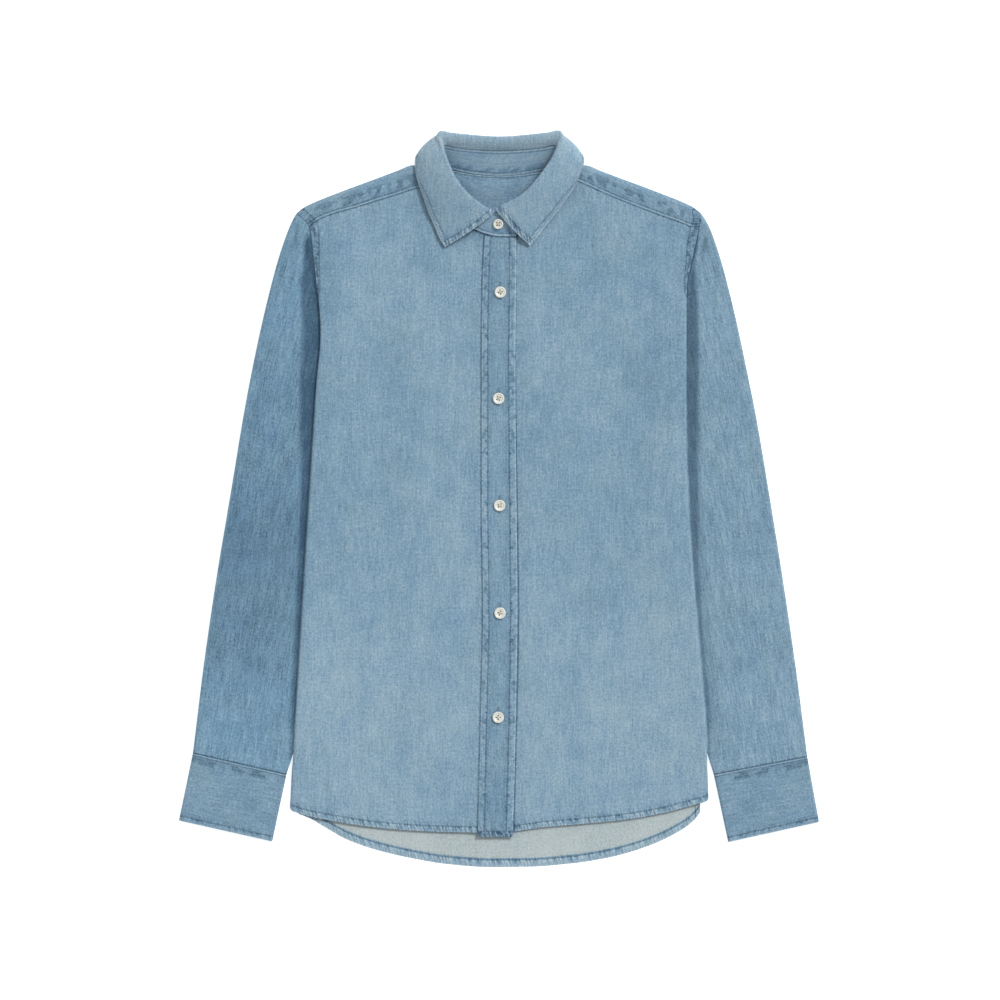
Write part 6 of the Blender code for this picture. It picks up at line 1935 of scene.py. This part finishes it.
class SHIRT_OT_fronts(bpy.types.Operator):
    """Make the two fronts, which roll over at the sides"""
    bl_idname = "shirt.make_fronts"
    bl_label = "Fronts"

    def execute(self, context):
        armhole = Worn(ARMHOLE_BAND, 0.6, 1.0, -0.12, 0.04)
        hem = Worn(FRONT_HEM_WIDTH, 1.6, 0.5, 0.0, 0.08)
        finish = (outside("Front denim", 0.53, armhole, hem), inside())
        for side, hand in ((WEARERS_LEFT, "left"), (WEARERS_RIGHT, "right")):
            dress(make_front(side, f"front_{hand}_cloth", finish, sizes_in_mm()),
                  f"front_{hand}", "front_denim")
        return {"FINISHED"}


class SHIRT_OT_placket(bpy.types.Operator):
    """Make the buttonhole placket and work its buttonholes"""
    bl_idname = "shirt.make_placket"
    bl_label = "Placket"

    def execute(self, context):
        edge = Worn(6.5, 0.4, 1.0, 0.07, 0.16)
        foot = Worn(PLACKET_FOOT_BAND, 1.8, 0.9, -0.12, 0.06)
        finish = (outside("Placket denim", 0.47, edge, foot),) * 2
        dress(make_placket(finish), "placket", "placket_denim")
        holes = []
        for spot in FRONT_BUTTONS:
            holes += buttonhole_lines(spot.x, spot.y + HOLE_ABOVE_BUTTON, PLACKET_TOP + 0.05)
        sew("buttonholes", holes, blue_thread(), "placket_denim", *BUTTONHOLE_THREAD)
        return {"FINISHED"}


class SHIRT_OT_sleeves(bpy.types.Operator):
    """Make both sleeves, flattened tubes that run in under the body"""
    bl_idname = "shirt.make_sleeves"
    bl_label = "Sleeves"

    def execute(self, context):
        for side, hand, tone, tint in ((WEARERS_RIGHT, "right", 0.42, (0.93, 1.01, 1.04)),
                                       (WEARERS_LEFT, "left", 0.48, (1.0, 1.0, 1.0))):
            finish = (outside(f"Sleeve denim {hand}", tone, streaks=1.5, tint=tint), inside())
            dress(make_sleeve(side, f"sleeve_{hand}_cloth", finish, sizes_in_mm()),
                  f"sleeve_{hand}", "sleeve_denim")
        return {"FINISHED"}


class SHIRT_OT_cuffs(bpy.types.Operator):
    """Make both cuffs"""
    bl_idname = "shirt.make_cuffs"
    bl_label = "Cuffs"

    def execute(self, context):
        join = Worn(CUFF_BAND, 0.2, 0.0, 0.0, 0.1)
        edge = Worn(CUFF_EDGE, 0.9, 0.3, 0.03, 0.1)
        finish = (outside("Cuff denim", 0.48, join, edge, both_along=True),) * 2
        for side, hand in ((WEARERS_RIGHT, "right"), (WEARERS_LEFT, "left")):
            dress(make_cuff(side, f"cuff_{hand}_cloth", finish, sizes_in_mm()),
                  f"cuff_{hand}", "cuff_denim")
        return {"FINISHED"}


class SHIRT_OT_collar(bpy.types.Operator):
    """Make the collar stand and the leaf that turns down over it"""
    bl_idname = "shirt.make_collar"
    bl_label = "Collar"

    def execute(self, context):
        seam = Worn(STAND_BAND, 0.3, 0.0, 0.02, 0.04)
        finish = (outside("Stand denim", 0.68, seam, seam, tint=(0.97, 1.01, 1.06)),) * 2
        dress(make_collar_stand(finish, sizes_in_mm()), "collar_stand", "collar_denim")
        edge = Worn(COLLAR_BAND, 0.6, 0.3, 0.02, 0.3)
        short = Worn(COLLAR_BAND, 2.0, 0.6, -0.03, 0.2)
        finish = (outside("Collar denim", 0.595, edge, short),) * 2
        dress(make_collar(finish, sizes_in_mm()), "collar", "collar_denim")
        return {"FINISHED"}


class SHIRT_OT_buttons(bpy.types.Operator):
    """Make the pearl buttons and sew them on"""
    bl_idname = "shirt.make_buttons"
    bl_label = "Buttons"

    def execute(self, context):
        colours = context.scene.shirt_colours
        make_buttons(pearl_finish("Pearl", colours.pearl),
                     thread_finish("Button thread", colours.cotton))
        return {"FINISHED"}


FLOOR_HALF, FLOOR_DROP = 5.0, 0.0002   # metres; the shirt lies just above the floor
FLOOR_GLOW = 0.6
WORLD_LIGHT = 0.6
KEY_LIGHT = 2.0
KEY_FROM = (0.55, 0.55, 0.85)
KEY_SPREAD = 16.0                      # degrees
CAMERA_AT = (0.00098, -0.00049, 4.088)
LENS, FILM_WIDTH = 150.0, 36.0
WHITE = (1.0, 1.0, 1.0, 1.0)


def floor_finish():
    """Pale grey that hardly varies and glows a little, so that it shows as white."""
    material, wires, shader = new_finish("Pale floor")
    cloud = wires.noise(*wires.object_place(3.0, 3.0), 1.0)
    greys = (solid_colour([grey] * 3) for grey in (0.84, 0.88))
    wires.fill(shader, {"Base Color": wires.mix(cloud * 0.4 + 0.5, *greys), "Roughness": 0.9,
                        "Specular IOR Level": 0.0, "Emission Color": WHITE,
                        "Emission Strength": FLOOR_GLOW})
    return material


class SHIRT_OT_stage(bpy.types.Operator):
    """Make the pale floor, the studio light and the camera"""
    bl_idname = "shirt.make_stage"
    bl_label = "Stage"

    def execute(self, context):
        scene = context.scene
        mesh = bpy.data.meshes.new("floor")
        corners = [(x * FLOOR_HALF, y * FLOOR_HALF, -FLOOR_DROP)
                   for x, y in ((-1, -1), (1, -1), (1, 1), (-1, 1))]
        mesh.from_pydata(corners, [], [(0, 1, 2, 3)])
        mesh.materials.append(floor_finish())
        floor = put_in_scene("floor", mesh)
        world = bpy.data.worlds.new("studio")
        scene.world = world
        world.use_nodes = True
        background = world.node_tree.nodes["Background"].inputs
        background["Color"].default_value = WHITE
        background["Strength"].default_value = WORLD_LIGHT
        lamp = bpy.data.lights.new("key", "SUN")
        lamp.energy = KEY_LIGHT
        lamp.angle = math.radians(KEY_SPREAD)
        key = put_in_scene("key", lamp)
        key.rotation_euler = Vector(KEY_FROM).to_track_quat("Z", "Y").to_euler()
        lens = bpy.data.cameras.new("camera")
        lens.lens, lens.sensor_width = LENS, FILM_WIDTH
        camera = put_in_scene("camera", lens)
        camera.location = CAMERA_AT
        scene.camera = camera
        scene.view_settings.view_transform = "Standard"
        return {"FINISHED"}


OPERATORS = (SHIRT_OT_back, SHIRT_OT_yoke, SHIRT_OT_fronts, SHIRT_OT_placket, SHIRT_OT_sleeves,
             SHIRT_OT_cuffs, SHIRT_OT_collar, SHIRT_OT_buttons, SHIRT_OT_stage)


class SHIRT_PT_panel(bpy.types.Panel):
    """The shirt's sizes, colours and pieces"""
    bl_idname = "SHIRT_PT_panel"
    bl_label = "Denim shirt"
    bl_space_type = "VIEW_3D"
    bl_region_type = "UI"
    bl_category = "Shirt"

    def draw(self, context):
        for group in (context.scene.shirt_sizes, context.scene.shirt_colours):
            box = self.layout.box()
            for name in type(group).__annotations__:
                box.prop(group, name)
        for operator in OPERATORS:
            self.layout.operator(operator.bl_idname)


CLASSES = (ShirtSizes, ShirtColours) + OPERATORS + (SHIRT_PT_panel,)


def register():
    for kind in CLASSES:
        bpy.utils.register_class(kind)
    bpy.types.Scene.shirt_sizes = bpy.props.PointerProperty(type=ShirtSizes)
    bpy.types.Scene.shirt_colours = bpy.props.PointerProperty(type=ShirtColours)


def unregister():
    del bpy.types.Scene.shirt_colours
    del bpy.types.Scene.shirt_sizes
    for kind in reversed(CLASSES):
        bpy.utils.unregister_class(kind)


def main():
    register()
    bpy.ops.shirt.make_back()
    bpy.ops.shirt.make_yoke()
    bpy.ops.shirt.make_fronts()
    bpy.ops.shirt.make_placket()
    bpy.ops.shirt.make_sleeves()
    bpy.ops.shirt.make_cuffs()
    bpy.ops.shirt.make_collar()
    bpy.ops.shirt.make_buttons()
    bpy.ops.shirt.make_stage()


if __name__ == "__main__":
    main()
